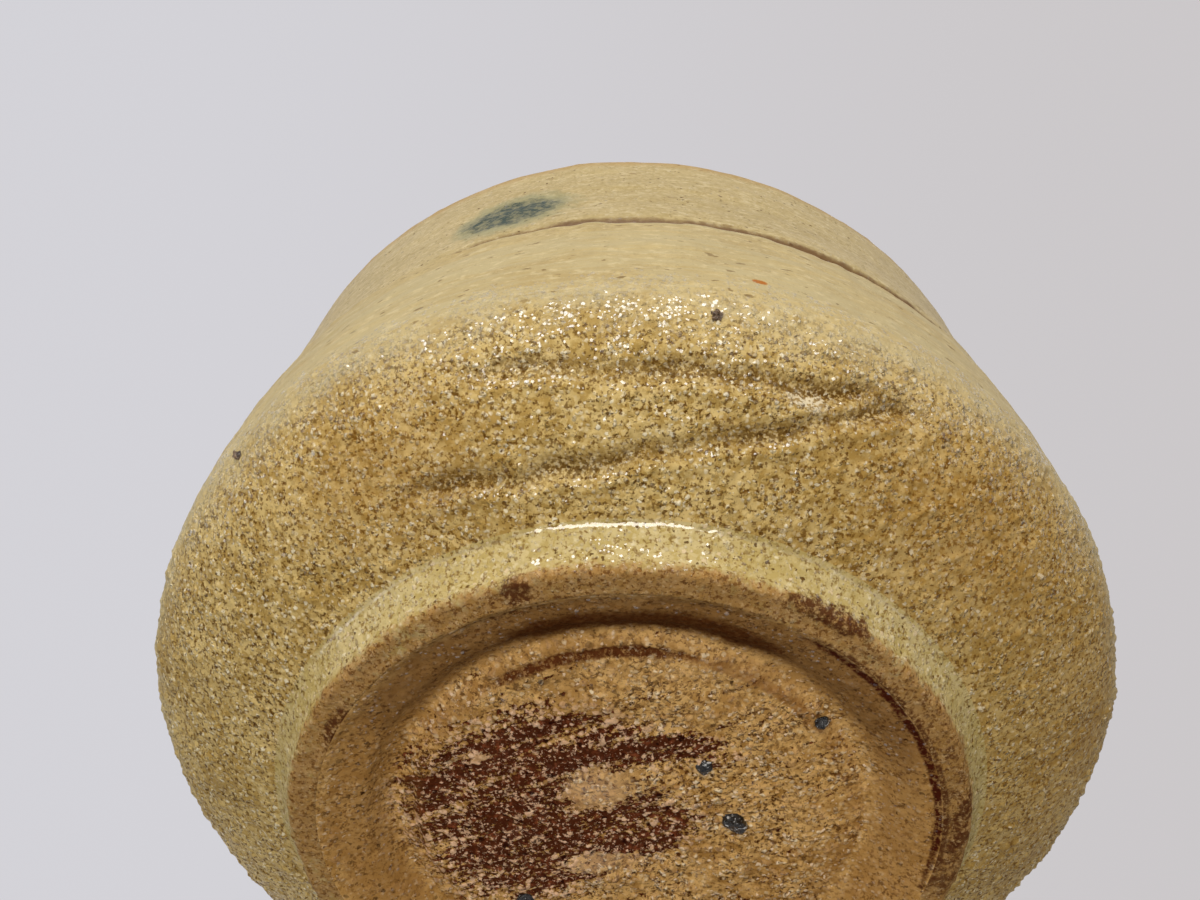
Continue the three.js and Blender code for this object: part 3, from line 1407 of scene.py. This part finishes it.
@dataclass(frozen=True)
class AshGlaze:
    """Fired ash glaze: clear grains and thin brown places over pale clay."""

    name: str
    pale: Colour
    body: Colour
    deep: Colour
    pit: Colour = (0.09, 0.034, 0.003)
    curd: Colour = (0.68, 0.56, 0.32)
    crystal: Colour = (0.83, 0.74, 0.53)
    grain: float = 0.3
    grain_height: float = 0.08
    crystal_share: float = 0.85
    gap_share: float = 1.0
    mottle: float = 0.7
    drift_size: float = 6.0
    drift_stretch: Colour = EVEN
    pit_size: float = 0.33
    pit_rarity: float = 0.7
    pit_depth: float = 0.05
    pit_share: float = 0.85
    bit_size: float = 0.37
    bit_rarity: float = 0.42
    bit_share: float = 0.8
    bit_height: float = 0.04
    speck_size: float = 0.26
    speck_rarity: float = 0.58
    speckle: float = 0.0
    dot_share: float = 0.8
    shading: float = 1.8
    dulling: float = 0.3
    roughness: float = 0.6
    refraction: float = 1.5
    shine: float = 0.07
    gloss_roughness: float = 0.07
    gloss_index: float = 2.05
    edge_glow: float = 0.0
    glow: Colour = (1.0, 0.92, 0.78)
    glow_roughness: float = 0.4
    bead_share: float = 0.4
    drop_size: float = 0.36
    sugar_size: float = 0.24

    def dress(self) -> bpy.types.Material:
        """Builds the material.

        Returns:
            The material.
        """
        material, net = started(self.name)
        coat = self.skin(net, net.millimetres())
        self.marks(coat)
        net.surface(
            coat.colour, coat.roughness, coat.height, IOR=self.refraction, Specular_IOR_Level=self.shine,
            Coat_Weight=coat.gloss, Coat_Roughness=self.gloss_roughness, Coat_IOR=self.gloss_index,
            Sheen_Weight=self.edge_glow, Sheen_Roughness=self.glow_roughness, Sheen_Tint=self.glow,
        )
        return material

    def grain_share(self, net: Wiring, place: Value) -> Feed:
        """How much of the grain shows at each point."""
        return 1.0

    def melted(self, net: Wiring, place: Value) -> Feed:
        """How many of the glass beads there are at each point."""
        return self.bead_share

    def skin(self, net: Wiring, place: Value) -> Coat:
        """The plain glaze: tone, grains, pits and beads of glass.

        Args:
            net: The tree to place nodes in.
            place: Where on the piece, in millimetres.

        Returns:
            The plain glaze's coat.
        """
        share = self.grain_share(net, place)
        many = self.melted(net, place)
        beads = net.stored("grain")
        grain = SUGAR_GRAIN.put(net, place, self.grain)
        drops = GLASS_BEADS.put(net, place, self.drop_size, many)
        sugar = GLASS_BEADS.put(net, place, self.sugar_size, many)
        pits = PINHOLES.put(net, place, self.pit_size, self.pit_rarity)["Mask"] * share
        bits = PINHOLES.put(net, place, self.bit_size, self.bit_rarity)["Mask"] * share * self.bit_share
        dots = PINHOLES.put(net, place, self.speck_size, self.speck_rarity)["Mask"]
        flaws = net.eased(net.noise(place, 3.0, 4.0, 0.7), 0.55, 0.59, 0.0, self.speckle)
        specks = (dots * self.dot_share | flaws) * share
        # Gaps darken most between low beads: partly the glaze's own brown, partly painted shade.
        gaps = grain["Gaps"] * net.eased(beads, 0.5, 0.1, 0.3, 1.0) * share * self.gap_share
        crystals = net.eased(beads, 0.0, 0.6, 0.4, 1.0) * grain["Crystals"] * share * self.crystal_share
        drift = DRIFT.put(net, place, self.drift_stretch, self.drift_size)["Tone"]
        mottle = net.eased(net.noise(place, 1.1, 4.0, 0.7), 0.4, 0.6, -0.5, 0.5)
        tone = grain["Shade"] * share * self.shading + (mottle * share * self.mottle + drift)
        colour = net.blend(tone.clamped(), self.body, self.pale)
        roughness = ((gaps | pits) * self.dulling + self.roughness).clamped()
        height = grain["Height"] * share * self.grain_height + bits * self.bit_height - pits * self.pit_depth
        height = height + (drops["Height"] + sugar["Height"])
        coat = Coat(net, place, colour, roughness, height, drops["Mask"] | sugar["Mask"], bits, specks)
        # Painted shade in part: the brown gaps between the grains.
        coat.lay(self.deep, gaps)
        coat.lay(self.crystal, crystals)
        coat.lay(self.deep, specks)
        coat.lay(self.pit, pits, self.pit_share)
        coat.lay(self.crystal, bits)
        return coat

    def marks(self, coat: Coat) -> None:
        """Stains and marks over the plain glaze."""

    def flecked(self, coat: Coat, share: Feed) -> None:
        """Lays pale curds and brown flecks, drawn out round the cup, over a share of the surface.

        Args:
            coat: The surface so far, which is changed.
            share: How much of the surface, from 0 to 1.
        """
        drawn = coat.net.vector("MULTIPLY", coat.place, (0.45, 0.45, 1.0))
        flecks = PINHOLES.put(coat.net, drawn, 0.42, 0.66)["Mask"]
        curds = coat.net.eased(coat.net.noise(drawn, 2.2, 3.0, 0.6), 0.52, 0.68)
        coat.lay(self.curd, curds, share, 0.5)
        coat.lay(self.deep, flecks, share, 0.6)


@dataclass(frozen=True)
class BellyGlaze(AshGlaze):
    """Glaze of the belly: sugary on the hip, smoother and drawn out above it."""

    form: CupForm = CupForm()
    torn: Colour = (0.12, 0.055, 0.008)
    crust: Colour = (0.68, 0.58, 0.4)
    brushed: Colour = (0.495, 0.405, 0.22)
    rust: Colour = (0.42, 0.14, 0.02)
    toast: Colour = (0.29, 0.125, 0.014)
    smooth_from: float = 9.0
    smooth_to: float = 12.2
    toasted: tuple[tuple[Blotch, float], ...] = (
        (Blotch((19.5, -21.0, 5.4), (8.5, 7.5, 3.2)), 0.46),
        (Blotch((29.5, -4.0, 6.0), (9.0, 15.0, 5.0)), 0.36),
        (Blotch((-14.5, -25.0, 5.2), (6.0, 5.0, 3.0)), 0.36),
    )
    flake: Pair = (-70.6, 6.5)
    fleck: Pair = (-76.9, 13.4)

    def grain_share(self, net: Wiring, place: Value) -> Feed:
        """Grain fades out above the hip."""
        wander = net.noise(place, 0.3, 2.0) * 3.0 + net.split(place)[2]
        return net.eased(wander, self.smooth_to + 1.5, self.smooth_from + 1.5, 0.22, 1.0)

    def melted(self, net: Wiring, place: Value) -> Feed:
        """Most beads on the front of the hip, where the ash fell, in loose drifts.

        Args:
            net: The tree to place nodes in.
            place: Where on the piece, in millimetres.

        Returns:
            A share from 0 to 1.
        """
        _, depth, height = net.split(place)
        torn = net.stored("torn")
        drifts = net.eased(net.noise(place, 0.4, 3.0), 0.36, 0.58, 0.3, 1.0)
        lips = net.eased(torn, 0.01, 0.06, 0.0, 0.55) * net.eased(torn, 0.5, 0.25)
        rise = net.eased(height, 6.0, 8.5, 0.12, 1.0) | lips
        side = net.eased(depth, -10.0, -24.0, 0.03, 1.0) + net.eased(depth, 14.0, 24.0, 0.0, 0.12)
        return drifts * rise * (net.eased(height, 14.0, 11.5) * side)

    def marks(self, coat: Coat) -> None:
        """A paler drawn-out coat above the hip, torn furrows, a pale crust and a rust fleck.

        Args:
            coat: The surface so far, which is changed.
        """
        net, place = coat.net, coat.place
        wander = net.noise(place, 0.4, 3.0) * 4.0 + net.split(place)[2]
        above = net.eased(wander, self.smooth_from + 0.4, self.smooth_to + 1.2)
        lines = DRIFT.put(net, place, (0.12, 0.12, 1.6), 3.0)["Tone"]
        coat.lay(self.brushed, above, net.eased(lines, 0.0, 1.0, 0.5, 0.95))
        self.flecked(coat, above)
        for blotch, strength in self.toasted:
            coat.lay(self.toast, coat.stain(blotch, "Nearness"), strength)
        torn = net.stored("torn")
        sand = net.noise(place, 4.2, 2.0, 0.6)
        bare = torn * net.eased(sand, 0.56, 0.46, 0.1, 1.0)
        coat.lay(self.torn, bare)
        coat.lay(self.crust, torn, net.eased(sand, 0.56, 0.64), 0.5)
        coat.roughness = (bare * 0.3 + coat.roughness).clamped()
        coat.gloss = coat.gloss * (1.0 - bare)
        flake, fleck = tuple(self.form.on_belly(*self.flake)), tuple(self.form.on_belly(*self.fleck))
        crust = Blotch(flake, (1.3, 0.9, 0.7), self.flake[0] + 90.0, 2.6, 0.6)
        coat.lay(self.crust, coat.stain(crust), net.eased(sand, 0.46, 0.54, 0.1, 0.85))
        coat.lay(self.rust, coat.stain(Blotch(fleck, (0.55, 0.4, 0.3), self.fleck[0] + 90.0, 0.8, 0.5)))


@dataclass(frozen=True)
class WallGlaze(AshGlaze):
    """Glaze of the upper wall and lip: copper-green dab, brown where it runs thin, painted shade in the
    groove.
    """

    form: CupForm = CupForm()
    copper: Colour = (0.006, 0.026, 0.014)
    copper_rim: Colour = (0.2, 0.22, 0.11)
    # Brown of thin glaze, also laid as painted shade in the groove above the ridge.
    thin: Colour = (0.13, 0.062, 0.016)
    golden: Colour = (0.4, 0.23, 0.06)
    dab: Pair = (-105.6, 30.4)

    def marks(self, coat: Coat) -> None:
        """The dab, a brown line of thin glaze and painted shade above the ridge, and the thin glaze on the
        lip.

        Args:
            coat: The surface so far, which is changed.
        """
        net, place = coat.net, coat.place
        side, _, height = net.split(place)
        level = net.noise(place, 0.8, 4.0, 0.65) + height
        ridge, lip = self.form.ridge_height, self.form.cup_height
        self.flecked(coat, 1.0)
        # Brown line in the groove above the ridge, stronger towards +X: partly thin glaze, partly painted
        # shade.
        groove = net.eased(level, ridge + 2.3, ridge + 1.6)
        coat.lay(self.thin, groove, net.eased(side, -26.0, -4.0, 0.4, 0.95))
        coat.lay(self.golden, net.eased(level, lip - 2.3, lip - 0.9), 0.6)
        turn, rise = self.dab
        centre = tuple(self.form.on_turn(turn, self.form.wall_radius - 0.2, rise))
        clots = net.eased(net.noise(place, 1.6, 4.0, 0.7), 0.36, 0.6, 0.35, 1.0)
        coat.lay(self.copper_rim, coat.stain(Blotch(centre, (5.4, 3.0, 4.6), turn + 90.0, 1.0, 2.4)), 0.55)
        coat.lay(self.copper, coat.stain(Blotch(centre, (3.9, 3.0, 3.1), turn + 90.0, 1.2, 1.4)), clots)


@dataclass(frozen=True)
class FootGlaze(AshGlaze):
    """Glaze of the foot: thick and yellow on the wall, browned on the face."""

    face: Colour = (0.32, 0.14, 0.032)
    bit: Colour = (0.56, 0.36, 0.16)
    scorch: Colour = (0.085, 0.026, 0.007)
    blots: tuple[Blotch, ...] = (
        Blotch((-6.4, -20.2, 0.1), (0.95, 1.1, 1.0), -15.0, 1.6, 0.7),
        Blotch((-17.6, -9.7, 0.2), (2.4, 1.0, 1.2), 118.0, 1.3, 0.9),
        Blotch((11.4, -18.3, 0.2), (3.2, 0.7, 1.2), 30.0, 2.0, 0.9),
        Blotch((20.9, -2.0, 0.2), (3.2, 0.55, 1.2), 96.0, 2.6, 1.0),
    )

    def marks(self, coat: Coat) -> None:
        """Brown on the standing face and its edges, single dark blots, and a wet line at the root.

        Args:
            coat: The surface so far, which is changed.
        """
        net, place = coat.net, coat.place
        x, y, z = net.split(place)
        crumbs = net.noise(place, 2.4, 5.0, 0.75)
        ragged = net.noise(place, 0.8, 6.0, 0.75) * 2.0 + (crumbs + z)
        level = ragged - net.eased(x, 14.0, 22.0, 0.0, 0.7)
        low = net.eased(level, 2.25, 1.55)
        coat.lay(self.face, low, 0.74)
        coat.lay(self.scorch, net.eased(level, 1.05, 0.85), 0.85)
        coat.lay(self.scorch, low, net.eased(crumbs, 0.53, 0.62, 0.0, 0.6))
        coat.lay(self.bit, low, net.eased(crumbs, 0.45, 0.36, 0.0, 0.7))
        rim = coat.ring(19.9, 0.3, (-62.0, 14.0), 1.8)
        coat.lay(self.scorch, rim, net.eased(crumbs, 0.42, 0.54, 0.15, 0.9))
        solid = net.eased(crumbs, 0.4, 0.54, 0.2, 0.95)
        for blot in self.blots:
            coat.lay(self.scorch, coat.stain(blot), solid)
        coat.lay(self.scorch, coat.specks, low)
        coat.lay(self.bit, coat.bits, 0.8)
        uneven = net.noise(place, 3.2, 3.0, 0.6) * 0.3 + z
        line = net.eased(uneven, 2.63, 2.66) * net.eased(uneven, 2.78, 2.75) * net.eased(y, -12.0, -18.0)
        wet = net.eased(y, -10.0, -17.0) * (1.0 - low)
        coat.gloss = coat.gloss * wet | line
        coat.roughness = (low * 0.25 + coat.roughness).clamped()


@dataclass(frozen=True)
class RecessGlaze(AshGlaze):
    """Glaze under the foot: tan, with a scorched patch wiped thin along one direction."""

    scorch: Colour = (0.06, 0.01, 0.003)
    ember: Colour = (0.25, 0.062, 0.024)
    crumb: Colour = (0.92, 0.6, 0.39)
    soot: Colour = (0.016, 0.002, 0.001)
    # Pale tint laid towards -Y as painted light.
    ash: Colour = (0.72, 0.46, 0.19)
    # Brown fringe of the patch, also laid as painted shade along the crease round the floor.
    fringe_and_crease_shade: Colour = (0.24, 0.095, 0.022)
    # Painted shade for the slope under the standing face.
    painted_shade: Colour = (0.068, 0.015, 0.002)
    banked: Colour = (0.36, 0.18, 0.05)
    wipe_turn: float = -24.0
    edge_radius: float = 14.2

    def grain_share(self, net: Wiring, place: Value) -> Feed:
        """Grain gathers in drifts on the floor and thins out on the slope.

        Args:
            net: The tree to place nodes in.
            place: Where on the piece, in millimetres.

        Returns:
            A share from 0 to 1.
        """
        flat = net.vector("MULTIPLY", place, (1.0, 1.0, 0.0))
        slope = net.eased(net.vector("LENGTH", flat, output="Value"), 14.8, 16.2, 1.0, 0.6)
        return slope * net.eased(net.noise(place, 0.35, 3.0), 0.42, 0.56, 0.6, 1.0)

    def marks(self, coat: Coat) -> None:
        """The patch with its pale isles and streaks, painted shade on the slope and crease, and brown rings.

        Args:
            coat: The surface so far, which is changed.
        """
        net, place = coat.net, coat.place
        crumbs = net.noise(place, 2.8, 4.0, 0.7) - 0.5
        # Painted light: the floor is made paler towards -Y, the side that the lamps light.
        coat.lay(self.ash, net.eased(net.split(place)[1], -5.0, -13.0, 0.0, 0.14))
        dark = self.scorched(coat, crumbs)
        sandy = net.eased(crumbs, -0.1, 0.02, 0.45, 1.0)
        # Painted shade on the slope under the face, on the -Y side: a broad soft ring and a darker narrow
        # one.
        coat.lay(self.painted_shade, coat.ring(18.2, 2.3, (-156.0, -14.0), 0.8), 0.42)
        slope = coat.ring(17.1, 1.6, (-118.0, -56.0), 0.9)
        coat.lay(self.painted_shade, slope, net.eased(crumbs, -0.1, 0.12, 0.92, 0.74))
        # Painted shade along the crease round the floor's edge: dark on the -Y side, fainter further round.
        crease = coat.ring(self.edge_radius, 0.45, (-130.0, -72.0), 1.8)
        coat.lay(self.scorch, crease, sandy)
        coat.lay(self.fringe_and_crease_shade, coat.ring(self.edge_radius, 0.5, (-78.0, -34.0), 3.2), 0.45)
        coat.lay(self.scorch, coat.ring(19.5, 0.34, (-62.0, 14.0), 1.9), sandy)
        # Faint painted shade along the trough, all the way round.
        coat.lay(self.fringe_and_crease_shade, coat.ring(self.edge_radius + 0.3, 0.9, ALL_ROUND, 1.4), 0.22)
        coat.roughness = (dark * 0.25 + (slope * 0.5 + coat.roughness)).clamped()
        coat.height = coat.height - dark * 0.05
        coat.gloss = coat.gloss * (1.0 - (dark | (slope | crease)))

    def scorched(self, coat: Coat, crumbs: Value) -> Value:
        """Lays the patch and the soot, and the grains that show through them.

        Args:
            coat: The surface so far.
            crumbs: Fine noise about 0.

        Returns:
            Where the patch is dark.
        """
        net, place = coat.net, coat.place
        field: Feed = -0.5
        for blotch in SCORCHED:
            field = coat.stain(blotch, "Nearness") + field
        isles: Feed = 0.0
        for blotch in BARE_ISLES:
            isle = coat.stain(blotch, "Nearness")
            isles = isle | isles
            field = field - isle * 0.75
        drawn = net.vector("MULTIPLY", net.turned(place, math.radians(-self.wipe_turn)), (0.15, 1.0, 1.0))
        streaks = net.noise(drawn, 1.0, 6.0, 0.72) - 0.5
        wiped = net.eased(field, -0.35, 0.4, -0.6, 0.3) + (streaks * 3.6 + crumbs * 2.8)
        beads = net.stored("grain")
        dark = net.eased(wiped - beads * 0.55, -0.04, 0.06)
        wide = net.eased(wiped, -0.4, 0.15)
        pale = net.eased(field, -0.3, 0.2, 0.1, 0.8) * net.eased(beads, 0.2, 0.45)
        coat.lay(self.crumb, pale | isles * 0.28)
        coat.lay(self.fringe_and_crease_shade, wide, 0.35)
        embers = net.eased(net.noise(place, 2.0, 5.0, 0.75), 0.48, 0.7)
        coat.lay(net.blend(embers, self.scorch, self.ember), dark, 0.96)
        grit = net.eased(net.noise(place, 3.4, 3.0, 0.65), 0.57, 0.65, 0.0, 0.8)
        coat.lay(self.crumb, grit, net.eased(field, -0.3, 0.1))
        bank = coat.ring(17.8, 2.4, ALL_ROUND, 0.5)
        coat.lay(self.banked, bank, 0.65)
        coat.lay(self.deep, coat.specks, bank)
        soot = PINHOLES.put(net, place, 0.55, 0.25)["Mask"]
        coat.lay(self.soot, soot, net.eased(wide, 0.3, 0.9, 0.5, 0.85) | bank * 0.6)
        shown = coat.bits * net.eased(dark, 0.0, 1.0, 0.6, 0.9)
        coat.lay(self.crumb, shown, net.eased(bank, 0.0, 1.0, 1.0, 0.35))
        return dark


@dataclass(frozen=True)
class WellGlaze(AshGlaze):
    """Glaze inside: pale on the wall, pooled darker and greener at the bottom."""

    pool: Colour = (0.42, 0.36, 0.13)
    pool_level: float = 13.0

    def marks(self, coat: Coat) -> None:
        """Glaze that ran down and pooled in the well."""
        level = coat.net.noise(coat.place, 0.25, 3.0) * 5.0 + coat.net.split(coat.place)[2]
        coat.lay(self.pool, coat.net.eased(level, self.pool_level + 4.0, self.pool_level - 3.0), 0.65)


@dataclass(frozen=True)
class IronGlass:
    """Molten iron grit: black glass with dull grey facets and painted glints."""

    name: str = "iron_glass"
    dark: Colour = (0.003, 0.003, 0.003)
    grey: Colour = (0.014, 0.013, 0.013)
    # Colour of the painted glints.
    painted_glint_colour: Colour = (0.7, 0.7, 0.7)

    def dress(self) -> bpy.types.Material:
        """Builds the material.

        Returns:
            The material.
        """
        material, net = started(self.name)
        place = net.millimetres()
        tone = DRIFT.put(net, place, EVEN, 0.5)["Tone"]
        pits = PINHOLES.put(net, place, 0.15, 0.6)["Mask"]
        # Painted glints: pale patches laid over the dark glass as lamp highlights.
        painted_glints = net.eased(net.noise(place, 3.0, 4.0, 0.7), 0.57, 0.61, 0.0, 0.9)
        colour = net.blend(painted_glints, net.blend(tone, self.dark, self.grey), self.painted_glint_colour)
        net.surface(colour, net.eased(tone, 0.0, 1.0, 0.12, 0.34), tone * 0.03 - pits * 0.03)
        return material


@dataclass(frozen=True)
class BuffClay:
    """Fired buff stoneware under the glaze."""

    name: str = "buff_clay"
    pale: Colour = (0.55, 0.4, 0.22)
    dark: Colour = (0.36, 0.24, 0.12)

    def dress(self) -> bpy.types.Material:
        """Builds the material.

        Returns:
            The material.
        """
        material, net = started(self.name)
        tone = DRIFT.put(net, net.millimetres(), EVEN, 2.0)["Tone"]
        net.surface(net.blend(tone, self.dark, self.pale), net.eased(tone, 0.0, 1.0, 0.8, 0.92), tone * 0.08)
        return material


# Studio

@dataclass(frozen=True)
class SoftLamp:
    """An oval studio lamp that looks at the cup."""

    name: str
    direction: tuple[float, float, float]
    distance: float
    width: float
    depth: float
    watts: float
    colour: Colour = (1.0, 1.0, 1.0)

    def build(self, target: Vector) -> None:
        """Hangs the lamp, with its distance and both its widths in metres.

        Args:
            target: Where the lamp points, in metres.
        """
        data = bpy.data.lights.new(self.name, "AREA")
        data.shape = "ELLIPSE"
        data.size = self.width
        data.size_y = self.depth
        data.energy = self.watts
        data.color = self.colour
        lamp = bpy.data.objects.new(self.name, data)
        out = Vector(self.direction).normalized()
        lamp.location = target + out * self.distance
        lamp.rotation_mode = "QUATERNION"
        lamp.rotation_quaternion = out.to_track_quat("Z", "Y")
        lamp.visible_camera = False
        bpy.context.scene.collection.objects.link(lamp)


@dataclass(frozen=True)
class Studio:
    """The pale floor, the soft lamps, the plain background and the camera below the foot."""

    backdrop_left: Colour = (0.655, 0.648, 0.685)
    backdrop_right: Colour = (0.6, 0.577, 0.588)
    ambient: Colour = (1.0, 0.98, 0.95)
    ambient_strength: float = 0.2
    dim_below: float = 0.25
    dim_span: Pair = (-0.85, -0.35)
    backdrop_span: Pair = (-0.45, 0.45)
    seeing_rays: tuple[str, ...] = ("Camera", "Glossy", "Transmission")
    floor_colour: Colour = (0.74, 0.73, 0.73)
    floor_radius: float = 0.6
    floor_drop: float = 0.00005
    floor_sides: int = 96
    floor_roughness: float = 0.9
    floor_fade: tuple[float, float] = (0.14, 0.42)
    camera_place: tuple[float, float, float] = (0.14, -60.41, -51.63)
    camera_right: tuple[float, float, float] = (0.9996, 0.0151, 0.0238)
    camera_ahead: tuple[float, float, float] = (-0.0282, 0.5141, 0.8572)
    camera_lens: float = 35.1
    camera_sensor: float = 36.0
    camera_clip: Pair = (0.001, 50.0)
    lamp_target: tuple[float, float, float] = (0.0, 0.0, 0.018)
    lamps: tuple[SoftLamp, ...] = (
        SoftLamp("key_lamp", (-0.05, -0.97, 0.14), 0.6, 0.58, 0.3, 2.27, (1.0, 0.99, 0.98)),
        SoftLamp("foot_lamp", (-0.05, -0.69, -0.68), 0.6, 0.46, 0.4, 2.28, (1.0, 0.97, 0.91)),
        SoftLamp("top_lamp", (0.0, 0.35, 0.94), 1.0, 0.5, 0.5, 5.0),
        SoftLamp("side_lamp", (-0.93, 0.1, -0.35), 1.0, 0.5, 0.5, 0.75, (0.88, 0.94, 1.0)),
        SoftLamp("back_lamp", (-0.3, 0.9, 0.3), 0.9, 0.6, 0.5, 2.6, (1.0, 0.98, 0.96)),
    )

    def build(self) -> None:
        """Sets up everything round the cup."""
        self.build_world()
        self.build_floor()
        self.build_camera()
        for lamp in self.lamps:
            lamp.build(Vector(self.lamp_target))
        bpy.context.scene.view_settings.view_transform = "Standard"

    def build_world(self) -> None:
        """Even light from all round, with a pale backdrop where it is seen or mirrored."""
        world = bpy.data.worlds.new("studio_world")
        world.use_nodes = True
        net = Wiring(world.node_tree)
        camera, glossy, through = (net.get("LightPath", f"Is {ray} Ray") for ray in self.seeing_rays)
        side, _, up = net.split(net.get("TexCoord", "Generated"))
        tint = net.blend(net.eased(side, *self.backdrop_span), self.backdrop_left, self.backdrop_right)
        level = net.eased(up, *self.dim_span, self.dim_below, 1.0)
        light = net.get("Background", 0, {"Color": self.ambient, "Strength": self.ambient_strength})
        backdrop = net.get("Background", 0, {"Color": tint, "Strength": level})
        both = net.get("MixShader", 0, {0: camera | (glossy | through), 1: light, 2: backdrop})
        net.place("OutputWorld", {"Surface": both})
        bpy.context.scene.world = world

    def build_floor(self) -> None:
        """A round floor that keeps the cup's shadow, fades out and can't be seen from below."""
        shape = bmesh.new()
        bmesh.ops.create_circle(shape, cap_ends=True, segments=self.floor_sides, radius=self.floor_radius)
        mesh = bpy.data.meshes.new("floor")
        shape.to_mesh(mesh)
        shape.free()
        floor = bpy.data.objects.new("floor", mesh)
        bpy.context.scene.collection.objects.link(floor)
        floor.location.z = -self.floor_drop
        for ray in ("shadow", "diffuse", "glossy", "transmission"):
            setattr(floor, f"visible_{ray}", False)
        mesh.materials.append(self.floor_material())

    def floor_material(self) -> bpy.types.Material:
        """Matt pale paper that turns clear towards its edge and from behind.

        Returns:
            The material.
        """
        material, net = started("floor_paper")
        far = net.vector("LENGTH", net.get("TexCoord", "Object"), output="Value")
        clear = net.eased(far, *self.floor_fade) | net.get("NewGeometry", "Backfacing")
        finish = {"Base Color": self.floor_colour, "Roughness": self.floor_roughness}
        paper = net.get("BsdfPrincipled", 0, finish)
        both = net.get("MixShader", 0, {0: clear, 1: paper, 2: net.get("BsdfTransparent", 0)})
        net.place("OutputMaterial", {"Surface": both})
        return material

    def build_camera(self) -> None:
        """A camera close below the foot, as in the photograph."""
        data = bpy.data.cameras.new("camera")
        data.sensor_fit = "HORIZONTAL"
        data.sensor_width = self.camera_sensor
        data.lens = self.camera_lens
        data.clip_start, data.clip_end = self.camera_clip
        camera = bpy.data.objects.new("camera", data)
        right = Vector(self.camera_right).normalized()
        ahead = Vector(self.camera_ahead).normalized()
        up = right.cross(ahead)
        turn = Matrix((right, up, -ahead)).transposed()
        camera.matrix_world = Matrix.Translation(Vector(self.camera_place) * MM) @ turn.to_4x4()
        bpy.context.scene.collection.objects.link(camera)
        bpy.context.scene.camera = camera


def main() -> None:
    """Builds the cup's pieces in order, dresses them and lights them."""
    logging.basicConfig(level=logging.INFO, format="%(message)s")
    belly = BellyGlaze(
        "belly_ash_glaze", (0.595, 0.432, 0.17), (0.392, 0.25, 0.067), (0.115, 0.05, 0.005),
        edge_glow=0.1, grain_height=0.13, pit_rarity=0.6, speck_rarity=0.52, speckle=0.7,
    ).dress()
    wall = WallGlaze(
        "wall_ash_glaze", (0.49, 0.375, 0.17), (0.41, 0.305, 0.12), (0.23, 0.14, 0.036),
        grain_height=0.02, crystal_share=0.25, gap_share=0.3, mottle=0.2, drift_size=5.0,
        drift_stretch=(0.2, 0.2, 1.0), pit_rarity=0.84, bit_share=0.25, speck_rarity=0.8,
        roughness=0.45, shine=0.3, bead_share=0.03,
    ).dress()
    foot = FootGlaze(
        "foot_ash_glaze", (0.535, 0.42, 0.193), (0.44, 0.325, 0.112), (0.16, 0.075, 0.006),
        grain_height=0.03, crystal_share=0.5, gap_share=0.45, pit_rarity=0.74, bit_share=0.6,
        speck_rarity=0.72, speckle=0.55, drop_size=0.34,
    ).dress()
    recess = RecessGlaze(
        "recess_ash_glaze", (0.69, 0.41, 0.143), (0.405, 0.206, 0.051), (0.075, 0.021, 0.003),
        pit=(0.055, 0.014, 0.002), crystal=(1.0, 0.85, 0.58), grain=0.38, grain_height=0.12,
        crystal_share=1.0, pit_size=0.4, pit_rarity=0.42, bit_rarity=0.34, bit_share=1.0,
        speck_size=0.33, speck_rarity=0.34, speckle=0.85, roughness=0.7, shine=0.03,
        gloss_index=1.9, bead_share=0.1, drop_size=0.34, sugar_size=0.26,
    ).dress()
    well = WellGlaze(
        "well_ash_glaze", (0.54, 0.42, 0.22), (0.45, 0.33, 0.14), (0.25, 0.17, 0.05),
        grain_height=0.01, crystal_share=0.2, gap_share=0.2, mottle=0.2, drift_size=8.0,
        pit_rarity=0.85, bit_share=0.15, roughness=0.22, shine=0.5, bead_share=0.04,
    ).dress()
    glass = IronGlass().dress()
    # Its third colour is the painted glint colour, here brown.
    crust = IronGlass("iron_crust", (0.03, 0.014, 0.007), (0.24, 0.15, 0.08), (0.16, 0.08, 0.03)).dress()
    pieces: list[tuple[Piece, bpy.types.Material]] = [
        (ClayCore("clay_core", "clay_body", "stoneware", 1.5), BuffClay().dress()),
        (FootSkin("foot_skin", "foot_ring", "foot_glaze", 0.18), foot),
        (RecessSkin("recess_skin", "recess_glaze", "recess_glaze", 0.18), recess),
        (HipSkin("hip_skin", "belly_glaze", "belly_glaze", 0.17), belly),
        (BellySkin("belly_skin", "belly_glaze", "belly_glaze", 0.24), belly),
        (WallSkin("wall_skin", "wall_glaze", "wall_glaze", 0.3), wall),
        (WellSkin("well_skin", "inner_glaze", "inner_glaze", 0.6), well),
    ]
    pieces += [(GritBead(f"iron_grit_{number}", GRIT_SEED + number), glass) for number in (1, 2, 3, 4)]
    pieces += [
        (GritBead(f"iron_grit_{number}", GRIT_SEED + number, rugged=0.35), crust) for number in (5, 6)
    ]
    for part, material in pieces:
        piece = part.build()
        part.dress(piece, material)
        log.info("%s: %d faces", piece.name, len(piece.data.polygons))
    Studio().build()


if __name__ == "__main__":
    main()
